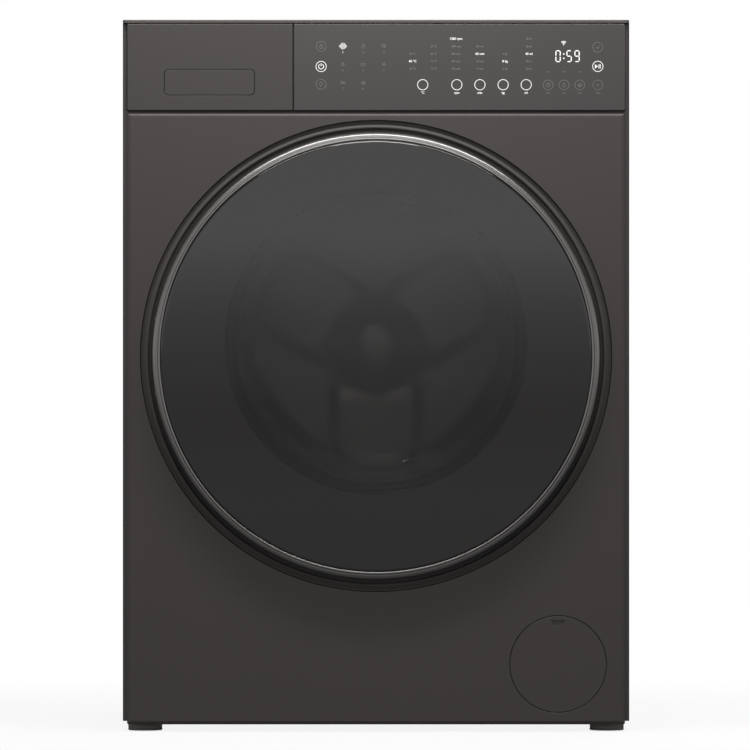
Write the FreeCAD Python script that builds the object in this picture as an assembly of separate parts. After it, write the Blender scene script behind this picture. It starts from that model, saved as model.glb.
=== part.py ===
import FreeCAD, Part
import math
import os

from FreeCAD import Vector

# Front load washing machine, in millimetres. The origin is on the floor under the middle of the
# machine. The front faces -Y, +X is the right-hand side seen from the front, and +Z is up.

# ---------------------------------------------------------------- driving dimensions
BODY_W = 600.0            # cabinet width
BODY_H = 843.0            # floor to top panel
REACH = 320.0             # door crown in front, hose threads behind
FRONT_Y = -290.0          # face of the front panel and of the console
REAR_Y = 300.0            # back of the cabinet
SHEET = 1.5               # sheet steel
GAP = 0.3                 # clearance between neighbours that only sit side by side
RUNNING = 0.05            # radial clearance of a turning or sliding fit

CABINET_FRONT_Y = -283.0
CABINET_BASE_Z = 12.5
CABINET_TOP_Z = 838.8
RETURN_W = 18.0           # folded front edge of each cabinet side

TOP_THICK = 3.7
TOP_BOARD_Z = 829.0

FRONT_W = 590.0
FRONT_BASE_Z = 8.5
FRONT_TOP_Z = 733.0
FRONT_EDGE_R = 4.5        # rounded edges of the front panel
FRONT_DEPTH = 6.7

CONSOLE_Z0 = 735.5
CONSOLE_Z1 = 838.3
CONSOLE_BACK_Y = -262.0
DRAWER_SPLIT_X = -97.8    # gap between the drawer front and the glass

DOOR_Z = 444.8            # centre of the round door
DRUM_Z = 460.0            # centre of the drum, its mouth, the gasket and the bowl
GLASS_R = 254.8
TRIM_R = 264.3
SURROUND_IN_R = 269.3
SURROUND_OUT_R = 279.0
RECESS_Y = -276.5         # floor of the round recess behind the door
PORT_R = 205.0            # loading port in the front panel

HINGE_X = -250.0
HINGE_Y = -303.0
HINGE_PIN_R = 3.0
HINGE_SLOT_DEG = 105.0    # opening angle of the door
HINGE_ARM_Z = (26.0, 34.0)   # span of each fixed arm above and below the door's centre line
HINGE_ARM_T = 6.0
HINGE_EYE_R = 4.6
HOOK_X = 236.0

TUB_R = 258.0
TUB_WALL = 4.0
TUB_FRONT_Y = -225.0
TUB_SPLIT_Y = -20.0
TUB_BACK_Y = 220.0
NECK_R = 190.0
NECK_Y = -250.0
TUB_FLANGE_R = 266.0

DRUM_R = 243.0
DRUM_FRONT_Y = -212.0
DRUM_BACK_Y = 178.0
DRUM_SHEET = 1.2
MOUTH_R = 178.0
SHAFT_R = 15.0
BEARING_R = 31.0
BEARING_W = 16.0

FILTER_X = 215.7
FILTER_Z = 79.9
FILTER_COVER_R = 57.0

FOOT_X = 274.5
FOOT_Y = (-245.0, 255.0)
FOOT_R = 20.5
FOOT_PAD_H = 8.4
FOOT_THREAD_R = 5.0

SPRING_X = 215.0
SPRING_Y = 30.0
SPRING_R = 14.0
DAMPER_X = 150.0
DAMPER_Y = 60.0

INLET_X = (-178.0, -125.0)
INLET_Z = 785.0
INLET_THREAD_R = 13.2     # G 3/4 hose thread
DRAIN_X = 250.0
DRAIN_Z = 150.0
DRAIN_R = 11.0
DRAIN_COLLAR_R = 13.5
GLAND_X = -250.0
GLAND_Z = 700.0
TRANSIT_X = 225.0
TRANSIT_Z = (330.0, 600.0)
TRANSIT_HOLE_R = 13.0

REAR_OPENING_X = 190.0
REAR_OPENING_Z = (240.0, 680.0)
CABINET_HALF = BODY_W / 2.0
INNER_X = CABINET_HALF - SHEET
INNER_REAR_Y = REAR_Y - SHEET

DRAWER_X0 = -294.6
DRAWER_X1 = DRAWER_SPLIT_X - 0.7
HOUSING_X0 = -290.0
HOUSING_X1 = -104.0
HOUSING_Z0 = 742.0
HOUSING_Z1 = 827.0
HOUSING_BACK_Y = -30.0
TRAY_X0 = HOUSING_X0 + 5.0
TRAY_X1 = HOUSING_X1 - 5.0
TRAY_Z0 = HOUSING_Z0 + 5.0
TRAY_Z1 = HOUSING_Z1 - 7.0
TRAY_BACK_Y = -45.0
FACE_BACK_Y = -285.6      # back of the drawer front and of the glass
FLAP_X = (-250.5, -144.1)
FLAP_Z = (753.8, 783.9)
FLAP_T = 2.6
POCKET_BACK_Y = -257.0
HOSE_X = -150.0
HOSE_Y = -80.0

TRIM_FRONT_Y = -317.0
TRIM_BACK_Y = -285.0
GLASS_BACK_Y = -312.5
BOWL_FLANGE_R = 186.0
INNER_HOLE_R = 172.5
HOOK_PIN_R = 2.0
HOOK_PIN_Y = -300.0
HINGE_SWEEP_R = 34.0       # reach of the room swept around each hinge arm

SUMP_X = 45.0
SUMP_Y = (-5.0, 190.0)
SUMP_Z = 184.0
DRAIN_HOSE_X = 90.0
DRAIN_HOSE_Y = -130.0
HUB_R = 52.0
SEAL_Y = (TUB_BACK_Y - 18.5, TUB_BACK_Y - 11.5)
FRONT_BEARING_Y = (TUB_BACK_Y - 11.0, TUB_BACK_Y - 11.0 + BEARING_W)
REAR_BEARING_Y = (TUB_BACK_Y + 19.0, TUB_BACK_Y + 19.0 + BEARING_W)
ROTOR_BACK_Y = TUB_BACK_Y + 46.0

FILTER_TUBE_R = 36.0
PUMP_FRONT_Y = FRONT_Y + 4.4
VOLUTE_Y = (-158.0, -128.0)
PUMP_OUT_Z = FILTER_Z + 36.0


# ---------------------------------------------------------------- shape helpers
def box(x0, x1, y0, y1, z0, z1):
    """Block between two corners."""
    return Part.makeBox(x1 - x0, y1 - y0, z1 - z0, Vector(x0, y0, z0))


def rod_y(radius, y0, y1, x=0.0, z=0.0):
    """Round bar along Y."""
    return Part.makeCylinder(radius, y1 - y0, Vector(x, y0, z), Vector(0, 1, 0))


def rod_z(radius, z0, z1, x=0.0, y=0.0):
    """Round bar along Z."""
    return Part.makeCylinder(radius, z1 - z0, Vector(x, y, z0), Vector(0, 0, 1))


def rod_x(radius, x0, x1, y=0.0, z=0.0):
    """Round bar along X."""
    return Part.makeCylinder(radius, x1 - x0, Vector(x0, y, z), Vector(1, 0, 0))


def ring_y(outer, inner, y0, y1, x=0.0, z=0.0):
    """Round tube along Y."""
    return rod_y(outer, y0, y1, x, z).cut(rod_y(inner, y0 - 1.0, y1 + 1.0, x, z))


def ring_z(outer, inner, z0, z1, x=0.0, y=0.0):
    """Round tube along Z."""
    return rod_z(outer, z0, z1, x, y).cut(rod_z(inner, z0 - 1.0, z1 + 1.0, x, y))


def turned(profile, centre_z, centre_x=0.0):
    """Solid of revolution about an axis along Y, from (radius, y) points."""
    points = [Vector(radius, y, 0.0) for radius, y in profile]
    wire = Part.makePolygon(points + [points[0]])
    solid = Part.Face(wire).revolve(Vector(0, 0, 0), Vector(0, 1, 0), 360.0)
    solid.translate(Vector(centre_x, 0.0, centre_z))
    return solid


def joined(shapes):
    """One solid from shapes that share volume."""
    whole = shapes[0].multiFuse(shapes[1:]) if len(shapes) > 1 else shapes[0]
    return whole.removeSplitter()


def group(shapes):
    """Several separate solids in one node."""
    return Part.makeCompound(shapes)


def about_y(shape, degrees, x, z):
    """Copy of a shape turned about an axis along Y."""
    turned_copy = shape.copy()
    turned_copy.rotate(Vector(x, 0, z), Vector(0, 1, 0), degrees)
    return turned_copy


def hexagon_z(across_flats, z0, z1, x, y):
    """Hexagonal prism along Z."""
    corner = across_flats / math.sqrt(3.0)
    points = []
    for step in range(7):
        angle = math.radians(60.0 * step)
        points.append(Vector(x + corner * math.cos(angle), y + corner * math.sin(angle), z0))
    return Part.Face(Part.makePolygon(points)).extrude(Vector(0, 0, z1 - z0))


def routed(points, bend_r):
    """Wire of straight runs joined by tangent arcs of one radius."""
    corners = [Vector(*point) for point in points]
    edges = []
    start = corners[0]
    for before, corner, after in zip(corners, corners[1:], corners[2:]):
        inward = (before - corner).normalize()
        outward = (after - corner).normalize()
        half_turn = (math.pi - inward.getAngle(outward)) / 2.0
        setback = bend_r * math.tan(half_turn)
        first = corner + inward * setback
        last = corner + outward * setback
        bisector = (inward + outward).normalize()
        centre = corner + bisector * (bend_r / math.cos(half_turn))
        middle = centre - bisector * bend_r
        edges.append(Part.LineSegment(start, first).toShape())
        edges.append(Part.Arc(first, middle, last).toShape())
        start = last
    edges.append(Part.LineSegment(start, corners[-1]).toShape())
    return Part.Wire(edges)


def hose(points, outer, inner, bend_r):
    """Round hose along a route, open at both ends."""
    path = routed(points, bend_r)
    direction = Vector(*points[1]) - Vector(*points[0])
    skins = []
    for radius in (outer, inner):
        circle = Part.Wire(Part.makeCircle(radius, Vector(*points[0]), direction))
        skins.append(path.makePipeShell([circle], True, False))
    return skins[0].cut(skins[1])


def save(node, shape):
    """Write one node, after checking that each of its solids is sound."""
    for solid in shape.Solids:
        if not solid.isValid() or solid.Volume <= 0.0:
            raise ValueError("unsound solid in " + node)
    shape.exportStep("parts/" + node + ".step")


# ---------------------------------------------------------------- cabinet
def cabinet_shell():
    """Wrapped sides and back, open in front, above and below."""
    outer = box(-CABINET_HALF, CABINET_HALF, CABINET_FRONT_Y, REAR_Y, CABINET_BASE_Z, CABINET_TOP_Z)
    hollow = box(-INNER_X, INNER_X, CABINET_FRONT_Y - 1.0, INNER_REAR_Y, 0.0, BODY_H)
    shell = outer.cut(hollow)
    pieces = [shell]
    for side in (-1, 1):
        edge = sorted((side * CABINET_HALF, side * (CABINET_HALF - RETURN_W)))
        pieces.append(box(edge[0], edge[1], CABINET_FRONT_Y, CABINET_FRONT_Y + SHEET,
                          CABINET_BASE_Z, CONSOLE_Z0))
        reach = sorted((side * INNER_X, side * (SPRING_X - 12.0)))
        pieces.append(box(reach[0], reach[1], SPRING_Y - 18.0, SPRING_Y + 18.0, 800.0, 803.0))
        web = sorted((side * INNER_X, side * (SPRING_X + 24.0)))
        pieces.append(box(web[0], web[1], SPRING_Y - 1.5, SPRING_Y + 1.5, 745.0, 800.0))
    shell = joined(pieces)
    cuts = [box(-REAR_OPENING_X, REAR_OPENING_X, INNER_REAR_Y - 1.0, REAR_Y + 1.0, *REAR_OPENING_Z)]
    for x in INLET_X:
        cuts.append(rod_y(INLET_THREAD_R + 1.5, INNER_REAR_Y - 1.0, REAR_Y + 1.0, x, INLET_Z))
    cuts.append(rod_y(DRAIN_COLLAR_R + GAP, INNER_REAR_Y - 1.0, REAR_Y + 1.0, DRAIN_X, DRAIN_Z))
    cuts.append(rod_y(8.3, INNER_REAR_Y - 1.0, REAR_Y + 1.0, GLAND_X, GLAND_Z))
    for x in (-TRANSIT_X, TRANSIT_X):
        for z in TRANSIT_Z:
            cuts.append(rod_y(TRANSIT_HOLE_R, INNER_REAR_Y - 1.0, REAR_Y + 1.0, x, z))
    return shell.cut(group(cuts))


def front_panel():
    """Pressed front with the round recess, the loading port, the lock slot and the filter opening."""
    half = FRONT_W / 2.0
    outer = box(-half, half, FRONT_Y, FRONT_Y + FRONT_DEPTH, FRONT_BASE_Z, FRONT_TOP_Z)
    inner = box(-half + SHEET, half - SHEET, FRONT_Y + SHEET, FRONT_Y + FRONT_DEPTH + 1.0,
                FRONT_BASE_Z + SHEET, FRONT_TOP_Z - SHEET)
    upright = [edge for edge in outer.Edges if edge.BoundBox.YMax < FRONT_Y + 0.01
               and edge.BoundBox.ZLength > half]
    outer = outer.makeFillet(FRONT_EDGE_R, upright)
    upright = [edge for edge in inner.Edges if edge.BoundBox.YMax < FRONT_Y + SHEET + 0.01
               and edge.BoundBox.ZLength > half]
    inner = inner.makeFillet(FRONT_EDGE_R - SHEET, upright)
    plate = outer.cut(inner).cut(rod_y(SURROUND_OUT_R, FRONT_Y - 1.0, 0.0, 0.0, DOOR_Z))
    floor_back = RECESS_Y + SHEET
    wall = ring_y(SURROUND_OUT_R + SHEET, SURROUND_OUT_R, FRONT_Y + 0.01, floor_back, 0.0, DOOR_Z)
    floor = rod_y(SURROUND_OUT_R + SHEET, RECESS_Y, floor_back, 0.0, DOOR_Z)
    floor = floor.cut(rod_y(PORT_R, -400.0, 0.0, 0.0, DRUM_Z))
    lip = ring_y(PORT_R + SHEET, PORT_R, RECESS_Y, RECESS_Y + 12.0, 0.0, DRUM_Z)
    panel = joined([plate, wall, floor, lip])
    slot = box(HOOK_X - 11.0, HOOK_X + 11.0, RECESS_Y - 1.0, floor_back + 1.0, DOOR_Z - 15.0, DOOR_Z + 15.0)
    filter_hole = rod_y(FILTER_COVER_R + 0.4, FRONT_Y - 1.0, FRONT_Y + 3.0, FILTER_X, FILTER_Z)
    return panel.cut(slot).cut(filter_hole)


def top_panel():
    """Top skin with the stiffening board under it."""
    skin_z = BODY_H - TOP_THICK
    skin = box(-CABINET_HALF, CABINET_HALF, FRONT_Y, REAR_Y, skin_z, BODY_H)
    corners = [edge for edge in skin.Edges if edge.BoundBox.ZLength > TOP_THICK - 0.1]
    skin = skin.makeFillet(4.0, corners)
    board = box(-INNER_X + 2.0, INNER_X - 2.0, CONSOLE_BACK_Y + 3.0, INNER_REAR_Y - 2.0, TOP_BOARD_Z, skin_z)
    return joined([skin, board])


def rear_cover():
    """Raised service cover over the opening in the back."""
    z0, z1 = REAR_OPENING_Z
    rim = 12.0
    plate = box(-REAR_OPENING_X - rim, REAR_OPENING_X + rim, REAR_Y, REAR_Y + SHEET, z0 - rim, z1 + rim)
    rise = 7.0
    raised = box(-REAR_OPENING_X + 15.0, REAR_OPENING_X - 15.0, REAR_Y, REAR_Y + rise, z0 + 15.0, z1 - 15.0)
    upright = [edge for edge in raised.Edges if edge.BoundBox.YLength > rise - 0.1]
    raised = raised.makeFillet(20.0, upright)
    hollow = box(-REAR_OPENING_X + 15.0 + SHEET, REAR_OPENING_X - 15.0 - SHEET, REAR_Y - 1.0,
                 REAR_Y + rise - SHEET, z0 + 15.0 + SHEET, z1 - 15.0 - SHEET)
    upright = [edge for edge in hollow.Edges if edge.BoundBox.YLength > rise - 1.0]
    hollow = hollow.makeFillet(20.0 - SHEET, upright)
    return joined([plate, raised]).cut(hollow).cut(group(rear_screw_shapes(0.3)))


def rear_screw_shapes(clearance=0.0):
    """Screws around the service cover; with a clearance, the holes they pass through."""
    z0, z1 = REAR_OPENING_Z
    screws = []
    for x in (-REAR_OPENING_X - 6.0, REAR_OPENING_X + 6.0):
        for share in (0.02, 0.35, 0.65, 0.98):
            z = z0 + share * (z1 - z0)
            shank = rod_y(2.0 + clearance, REAR_Y, REAR_Y + SHEET + 0.5, x, z)
            if clearance:
                screws.append(shank)
            else:
                screws.append(joined([shank, rod_y(4.2, REAR_Y + SHEET, REAR_Y + SHEET + 2.2, x, z)]))
    return screws


def base_tray():
    """Floor tray that ties the sides together and carries the feet, dampers and pump."""
    front = CABINET_FRONT_Y + SHEET + GAP
    outer = box(-INNER_X + GAP, INNER_X - GAP, front, INNER_REAR_Y - GAP, 14.0, 32.0)
    inner = box(-INNER_X + GAP + 2.5, INNER_X - GAP - 2.5, front + 2.5, INNER_REAR_Y - GAP - 2.5, 17.0, 40.0)
    tray = outer.cut(inner)
    pads = []
    for x in (-DAMPER_X, DAMPER_X):
        pads.append(box(x - 25.0, x + 25.0, DAMPER_Y - 25.0, DAMPER_Y + 25.0, 16.0, 30.0))
    pads.append(box(FILTER_X - 30.0, FILTER_X + 30.0, -240.0, -140.0, 16.0, FILTER_Z - 36.0))
    tray = joined([tray] + pads)
    holes = []
    for x in (-FOOT_X, FOOT_X):
        for y in FOOT_Y:
            holes.append(rod_z(FOOT_THREAD_R + RUNNING, 10.0, 45.0, x, y))
    return tray.cut(group(holes))


def foot_places():
    """Names and centres of the four feet."""
    places = []
    for x, side in ((-FOOT_X, "left"), (FOOT_X, "right")):
        for y, end in zip(FOOT_Y, ("front", "rear")):
            places.append(("foot_" + end + "_" + side, x, y))
    return places


def levelling_foot(x, y):
    """Rubber-tipped pad with its threaded stem."""
    pad = rod_z(FOOT_R, 0.0, FOOT_PAD_H, x, y)
    rims = [edge for edge in pad.Edges if edge.BoundBox.ZLength < 0.01]
    pad = pad.makeFillet(1.6, rims)
    return joined([pad, rod_z(FOOT_THREAD_R, FOOT_PAD_H - 1.0, 62.0, x, y)])


def foot_locknuts():
    """Thin hexagonal nuts between the pads and the base tray."""
    nuts = []
    for _, x, y in foot_places():
        nut = hexagon_z(17.0, FOOT_PAD_H + 0.4, 13.8, x, y)
        nuts.append(nut.cut(rod_z(FOOT_THREAD_R + RUNNING, 5.0, 20.0, x, y)))
    return group(nuts)


def transit_bolt_caps():
    """Plugs in the four transport bolt holes of the back."""
    caps = []
    for x in (-TRANSIT_X, TRANSIT_X):
        for z in TRANSIT_Z:
            head = rod_y(TRANSIT_HOLE_R + 4.0, REAR_Y, REAR_Y + 2.5, x, z)
            barrel = ring_y(TRANSIT_HOLE_R - 0.2, TRANSIT_HOLE_R - 2.4, INNER_REAR_Y - 9.0, REAR_Y + 0.5,
                            x, z)
            caps.append(joined([head, barrel]))
    return group(caps)


# ---------------------------------------------------------------- console and dispenser


def console_frame():
    """Carrier behind the drawer front and the control glass."""
    half = FRONT_W / 2.0
    front = FACE_BACK_Y + GAP
    body = box(-half, half, front, CONSOLE_BACK_Y, CONSOLE_Z0, CONSOLE_Z1)
    hollow = box(DRAWER_SPLIT_X + 3.0, half - 3.0, front + 3.0, CONSOLE_BACK_Y + 1.0,
                 CONSOLE_Z0 + 3.0, CONSOLE_Z1 - 3.0)
    drawer_way = box(-half + 3.0, DRAWER_SPLIT_X - 2.0, front - 1.0, CONSOLE_BACK_Y + 1.0,
                     CONSOLE_Z0 + 3.0, CONSOLE_Z1 - 3.0)
    window = box(-80.0, half - 20.0, front - 1.0, front + 4.0, CONSOLE_Z0 + 15.0, CONSOLE_Z1 - 15.0)
    return body.cut(hollow).cut(drawer_way).cut(window)


def console_glass():
    """Flush glass over the touch keys and the display."""
    glass = box(DRAWER_SPLIT_X + 0.3, FRONT_W / 2.0, FRONT_Y, FACE_BACK_Y, CONSOLE_Z0, CONSOLE_Z1)
    rims = [edge for edge in glass.Edges if edge.BoundBox.YMax < FRONT_Y + 0.01]
    return glass.makeFillet(0.8, rims)


def control_module():
    """Touch board and display in their tray, lit through the glass."""
    tray = box(-76.0, 270.0, FACE_BACK_Y + 0.6, -268.0, CONSOLE_Z0 + 19.0, CONSOLE_Z1 - 19.0)
    connector = box(60.0, 110.0, -269.0, -258.0, CONSOLE_Z0 + 30.0, CONSOLE_Z0 + 50.0)
    return joined([tray, connector])


def main_board_box():
    """Closed box of the motor controller, high on the right side."""
    case = box(150.0, INNER_X - GAP, -215.0, -60.0, 742.0, 800.0)
    rims = [edge for edge in case.Edges if edge.BoundBox.ZLength > 50.0]
    return case.makeFillet(5.0, rims)


def dispenser_housing():
    """Box the drawer slides in, with its outlet to the tub."""
    outer = box(HOUSING_X0, HOUSING_X1, CONSOLE_BACK_Y + GAP, HOUSING_BACK_Y, HOUSING_Z0, HOUSING_Z1)
    inner = box(HOUSING_X0 + 2.5, HOUSING_X1 - 2.5, CONSOLE_BACK_Y - 1.0, HOUSING_BACK_Y - 2.5,
                HOUSING_Z0 + 2.5, HOUSING_Z1 - 2.5)
    spigot = rod_z(18.0, HOUSING_Z0 - 16.0, HOUSING_Z0 + 1.0, HOSE_X, HOSE_Y)
    body = joined([outer.cut(inner), spigot])
    body = body.cut(rod_z(15.0, HOUSING_Z0 - 20.0, HOUSING_Z0 + 5.0, HOSE_X, HOSE_Y))
    stubs = []
    for x in INLET_X:
        stubs.append(rod_y(6.0, HOUSING_BACK_Y - 1.0, HOUSING_BACK_Y + 14.0, x, INLET_Z))
    body = joined([body] + stubs)
    for x in INLET_X:
        body = body.cut(rod_y(4.2, HOUSING_BACK_Y - 6.0, HOUSING_BACK_Y + 20.0, x, INLET_Z))
    return body


def drawer_front():
    """Visible front of the drawer with the grip pocket behind its flap."""
    face = box(DRAWER_X0, DRAWER_X1, FRONT_Y, FACE_BACK_Y, CONSOLE_Z0, CONSOLE_Z1)
    rims = [edge for edge in face.Edges if edge.BoundBox.YMax < FRONT_Y + 0.01]
    face = face.makeFillet(0.8, rims)
    pocket = box(FLAP_X[0] - 4.0, FLAP_X[1] + 4.0, FRONT_Y + 2.0, POCKET_BACK_Y,
                 FLAP_Z[0] - 4.0, FLAP_Z[1] + 4.0)
    room = box(FLAP_X[0] - 1.5, FLAP_X[1] + 1.5, FRONT_Y + FLAP_T + 0.6, POCKET_BACK_Y - 2.0,
               FLAP_Z[0] - 1.5, FLAP_Z[1] + 1.5)
    opening = box(FLAP_X[0] - 0.4, FLAP_X[1] + 0.4, FRONT_Y - 1.0, POCKET_BACK_Y - 2.0,
                  FLAP_Z[0] - 0.4, FLAP_Z[1] + 0.4)
    along_y = [edge for edge in opening.Edges if edge.BoundBox.YLength > 10.0]
    opening = opening.makeFillet(5.4, along_y)
    body = joined([face, pocket]).cut(room).cut(opening)
    pins = rod_x(1.5, FLAP_X[0] - 2.5, FLAP_X[0] + 9.5, FRONT_Y + 4.2, FLAP_Z[1] - 3.0)
    far_pins = rod_x(1.5, FLAP_X[1] - 9.5, FLAP_X[1] + 2.5, FRONT_Y + 4.2, FLAP_Z[1] - 3.0)
    return joined([body, pins, far_pins])


def drawer_flap():
    """Grip flap that swings inwards about its top edge."""
    plate = box(FLAP_X[0], FLAP_X[1], FRONT_Y, FRONT_Y + FLAP_T, FLAP_Z[0], FLAP_Z[1])
    along_y = [edge for edge in plate.Edges if edge.BoundBox.YLength > FLAP_T - 0.1]
    plate = plate.makeFillet(5.0, along_y)
    eyes = []
    for x0 in (FLAP_X[0] + 6.0, FLAP_X[1] - 9.0):
        eyes.append(rod_x(2.8, x0, x0 + 3.0, FRONT_Y + 4.2, FLAP_Z[1] - 3.0))
    flap = joined([plate] + eyes)
    bores = []
    for x0 in (FLAP_X[0] + 5.0, FLAP_X[1] - 10.0):
        bores.append(rod_x(1.5 + RUNNING, x0, x0 + 5.0, FRONT_Y + 4.2, FLAP_Z[1] - 3.0))
    return flap.cut(group(bores))


def drawer_tray():
    """Open tray with three compartments."""
    front = POCKET_BACK_Y
    outer = box(TRAY_X0, TRAY_X1, front, TRAY_BACK_Y, TRAY_Z0, TRAY_Z1)
    width = (TRAY_X1 - TRAY_X0 - 4 * 2.5) / 3.0
    rooms = []
    for index in range(3):
        x0 = TRAY_X0 + 2.5 + index * (width + 2.5)
        rooms.append(box(x0, x0 + width, front + 2.5, TRAY_BACK_Y - 2.5, TRAY_Z0 + 2.5, TRAY_Z1 + 1.0))
    tray = outer.cut(group(rooms))
    arms = []
    for x0 in (TRAY_X0, TRAY_X1 - 4.0):
        arms.append(box(x0, x0 + 4.0, FACE_BACK_Y, front + 1.0, TRAY_Z0, TRAY_Z1))
    return joined([tray] + arms)


def dispenser_hose():
    """Bellows hose from the dispenser down to the tub."""
    return ring_z(21.0, 18.3, 694.0, HOUSING_Z0 - 1.0, HOSE_X, HOSE_Y)


def inlet_valves():
    """Two solenoid valves with hose threads that stand out of the back."""
    valves = []
    for x in INLET_X:
        thread = rod_y(INLET_THREAD_R, REAR_Y + 4.0, REACH, x, INLET_Z)
        collar = rod_y(INLET_THREAD_R + 1.0, INNER_REAR_Y - 4.0, REAR_Y + 4.5, x, INLET_Z)
        body = rod_y(15.0, INNER_REAR_Y - 34.0, INNER_REAR_Y - 3.0, x, INLET_Z)
        coil = box(x - 13.0, x + 13.0, INNER_REAR_Y - 50.0, INNER_REAR_Y - 20.0, INLET_Z - 36.0, INLET_Z - 4.0)
        outlet = rod_y(6.0, INNER_REAR_Y - 62.0, INNER_REAR_Y - 30.0, x, INLET_Z)
        valve = joined([thread, collar, body, coil, outlet])
        valves.append(valve.cut(rod_y(8.0, REAR_Y - 6.0, REACH + 1.0, x, INLET_Z)))
    return group(valves)


def inlet_hoses():
    """Hoses from the valves to the dispenser housing, with a gentle drop between."""
    hoses = []
    start_y = HOUSING_BACK_Y + 2.0
    end_y = INNER_REAR_Y - 51.0
    for x in INLET_X:
        sag = 8.0
        route = [(x, start_y, INLET_Z), (x, start_y + 70.0, INLET_Z), (x, start_y + 110.0, INLET_Z - sag),
                 (x, end_y - 110.0, INLET_Z - sag), (x, end_y - 70.0, INLET_Z), (x, end_y, INLET_Z)]
        hoses.append(hose(route, 9.0, 6.3, 45.0))
    return group(hoses)


# ---------------------------------------------------------------- door
def hinge_slots(clearance):
    """Room in the door rim for the two fixed hinge arms, swept over the door's opening."""
    axis = Vector(0, 0, 1)
    half = HINGE_ARM_T / 2.0 + clearance
    height = HINGE_ARM_Z[1] - HINGE_ARM_Z[0] + 2.0 * clearance
    corner = (HINGE_SWEEP_R ** 2 + half ** 2) ** 0.5
    sweeps = []
    for z0 in (DOOR_Z - HINGE_ARM_Z[1], DOOR_Z + HINGE_ARM_Z[0]):
        pin = Vector(HINGE_X, HINGE_Y, z0 - clearance)
        for turn in (0.0, HINGE_SLOT_DEG):
            arm = Part.makeBox(2.0 * half, HINGE_SWEEP_R, height, pin - Vector(half, 0, 0))
            arm.rotate(pin, axis, turn)
            sweeps.append(arm)
        wedge = Part.makeCylinder(corner, height, pin, axis, HINGE_SLOT_DEG)
        wedge.rotate(pin, axis, 90.0)
        sweeps.append(wedge)
        sweeps.append(rod_z(HINGE_EYE_R + clearance, pin.z, pin.z + height, HINGE_X, HINGE_Y))
    return group(sweeps)


def door_surround_ring():
    """Ring that lines the recess around the door."""
    profile = [(SURROUND_IN_R, FRONT_Y + 3.0), (SURROUND_OUT_R - GAP, FRONT_Y + 1.2),
               (SURROUND_OUT_R - GAP, RECESS_Y - 0.1), (SURROUND_IN_R, RECESS_Y - 0.1)]
    return turned(profile, DOOR_Z)


def door_lock():
    """Lock body behind the front panel, open in front for the hook."""
    body = box(HOOK_X - 15.0, HOOK_X + 20.0, RECESS_Y + SHEET + 0.1, -240.0, DOOR_Z - 28.0, DOOR_Z + 34.0)
    slot = box(HOOK_X - 10.5, HOOK_X + 10.5, RECESS_Y, -250.0, DOOR_Z - 14.0, DOOR_Z + 14.0)
    return body.cut(slot)


def hinge_bracket():
    """Fixed plate, two arms and the pin that the door turns on."""
    plate = box(HINGE_X - 12.0, HINGE_X + 24.0, RECESS_Y - 1.5, RECESS_Y, DOOR_Z - 45.0, DOOR_Z + 45.0)
    pieces = [plate]
    half = HINGE_ARM_T / 2.0
    for z0 in (DOOR_Z - HINGE_ARM_Z[1], DOOR_Z + HINGE_ARM_Z[0]):
        z1 = z0 + HINGE_ARM_Z[1] - HINGE_ARM_Z[0]
        pieces.append(box(HINGE_X - half, HINGE_X + half, HINGE_Y, RECESS_Y - 1.0, z0, z1))
        pieces.append(rod_z(HINGE_EYE_R, z0, z1, HINGE_X, HINGE_Y))
    pieces.append(rod_z(HINGE_PIN_R, DOOR_Z - HINGE_ARM_Z[1], DOOR_Z + HINGE_ARM_Z[1], HINGE_X, HINGE_Y))
    return joined(pieces)


def door_hinge_leaf():
    """Knuckle and leaf that carry the door."""
    knuckle_half = HINGE_ARM_Z[0] - GAP
    knuckle = rod_z(5.4, DOOR_Z - knuckle_half, DOOR_Z + knuckle_half, HINGE_X, HINGE_Y)
    leaf = box(HINGE_X, HINGE_X + 48.0, HINGE_Y - 5.4, HINGE_Y - 2.9, DOOR_Z - knuckle_half, DOOR_Z + knuckle_half)
    pin_way = rod_z(HINGE_PIN_R + RUNNING, DOOR_Z - 60.0, DOOR_Z + 60.0, HINGE_X, HINGE_Y)
    return joined([knuckle, leaf]).cut(pin_way)


def door_frame():
    """Carrier ring that the glass is bonded to."""
    outer = TRIM_R - 3.6
    profile = [(205.0, -312.2), (outer, -312.2), (outer, TRIM_BACK_Y + 0.6), (outer - 2.6, TRIM_BACK_Y + 0.6),
               (outer - 2.6, -309.2), (205.0, -309.2)]
    carrier = turned(profile, DOOR_Z)
    lugs = [rod_z(HOOK_PIN_R, DOOR_Z - 12.0, DOOR_Z + 12.0, HOOK_X, HOOK_PIN_Y)]
    for z0 in (DOOR_Z - 12.0, DOOR_Z + 8.6):
        lugs.append(box(HOOK_X - 5.0, HOOK_X + 5.0, -310.0, HOOK_PIN_Y + 4.0, z0, z0 + 3.4))
    return joined([carrier] + lugs).cut(hinge_slots(0.7))


def door_trim_ring():
    """Bright ring around the edge of the glass."""
    skirt = TRIM_R - 3.2
    profile = [(GLASS_R + 0.4, TRIM_FRONT_Y + 0.8), (GLASS_R + 2.4, TRIM_FRONT_Y), (TRIM_R - 2.6, TRIM_FRONT_Y),
               (TRIM_R, TRIM_FRONT_Y + 3.2), (TRIM_R, TRIM_BACK_Y), (skirt, TRIM_BACK_Y), (skirt, -312.5),
               (GLASS_R + 0.4, -312.5)]
    return turned(profile, DOOR_Z).cut(hinge_slots(0.7))


def door_glass():
    """Slightly crowned outer glass."""
    crown = []
    steps = 8
    for step in range(steps + 1):
        radius = GLASS_R * step / steps
        crown.append((radius, -REACH + 3.2 * (radius / GLASS_R) ** 2))
    profile = crown + [(GLASS_R, GLASS_BACK_Y), (0.0, GLASS_BACK_Y - 3.0)]
    return turned(profile, DOOR_Z)


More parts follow.
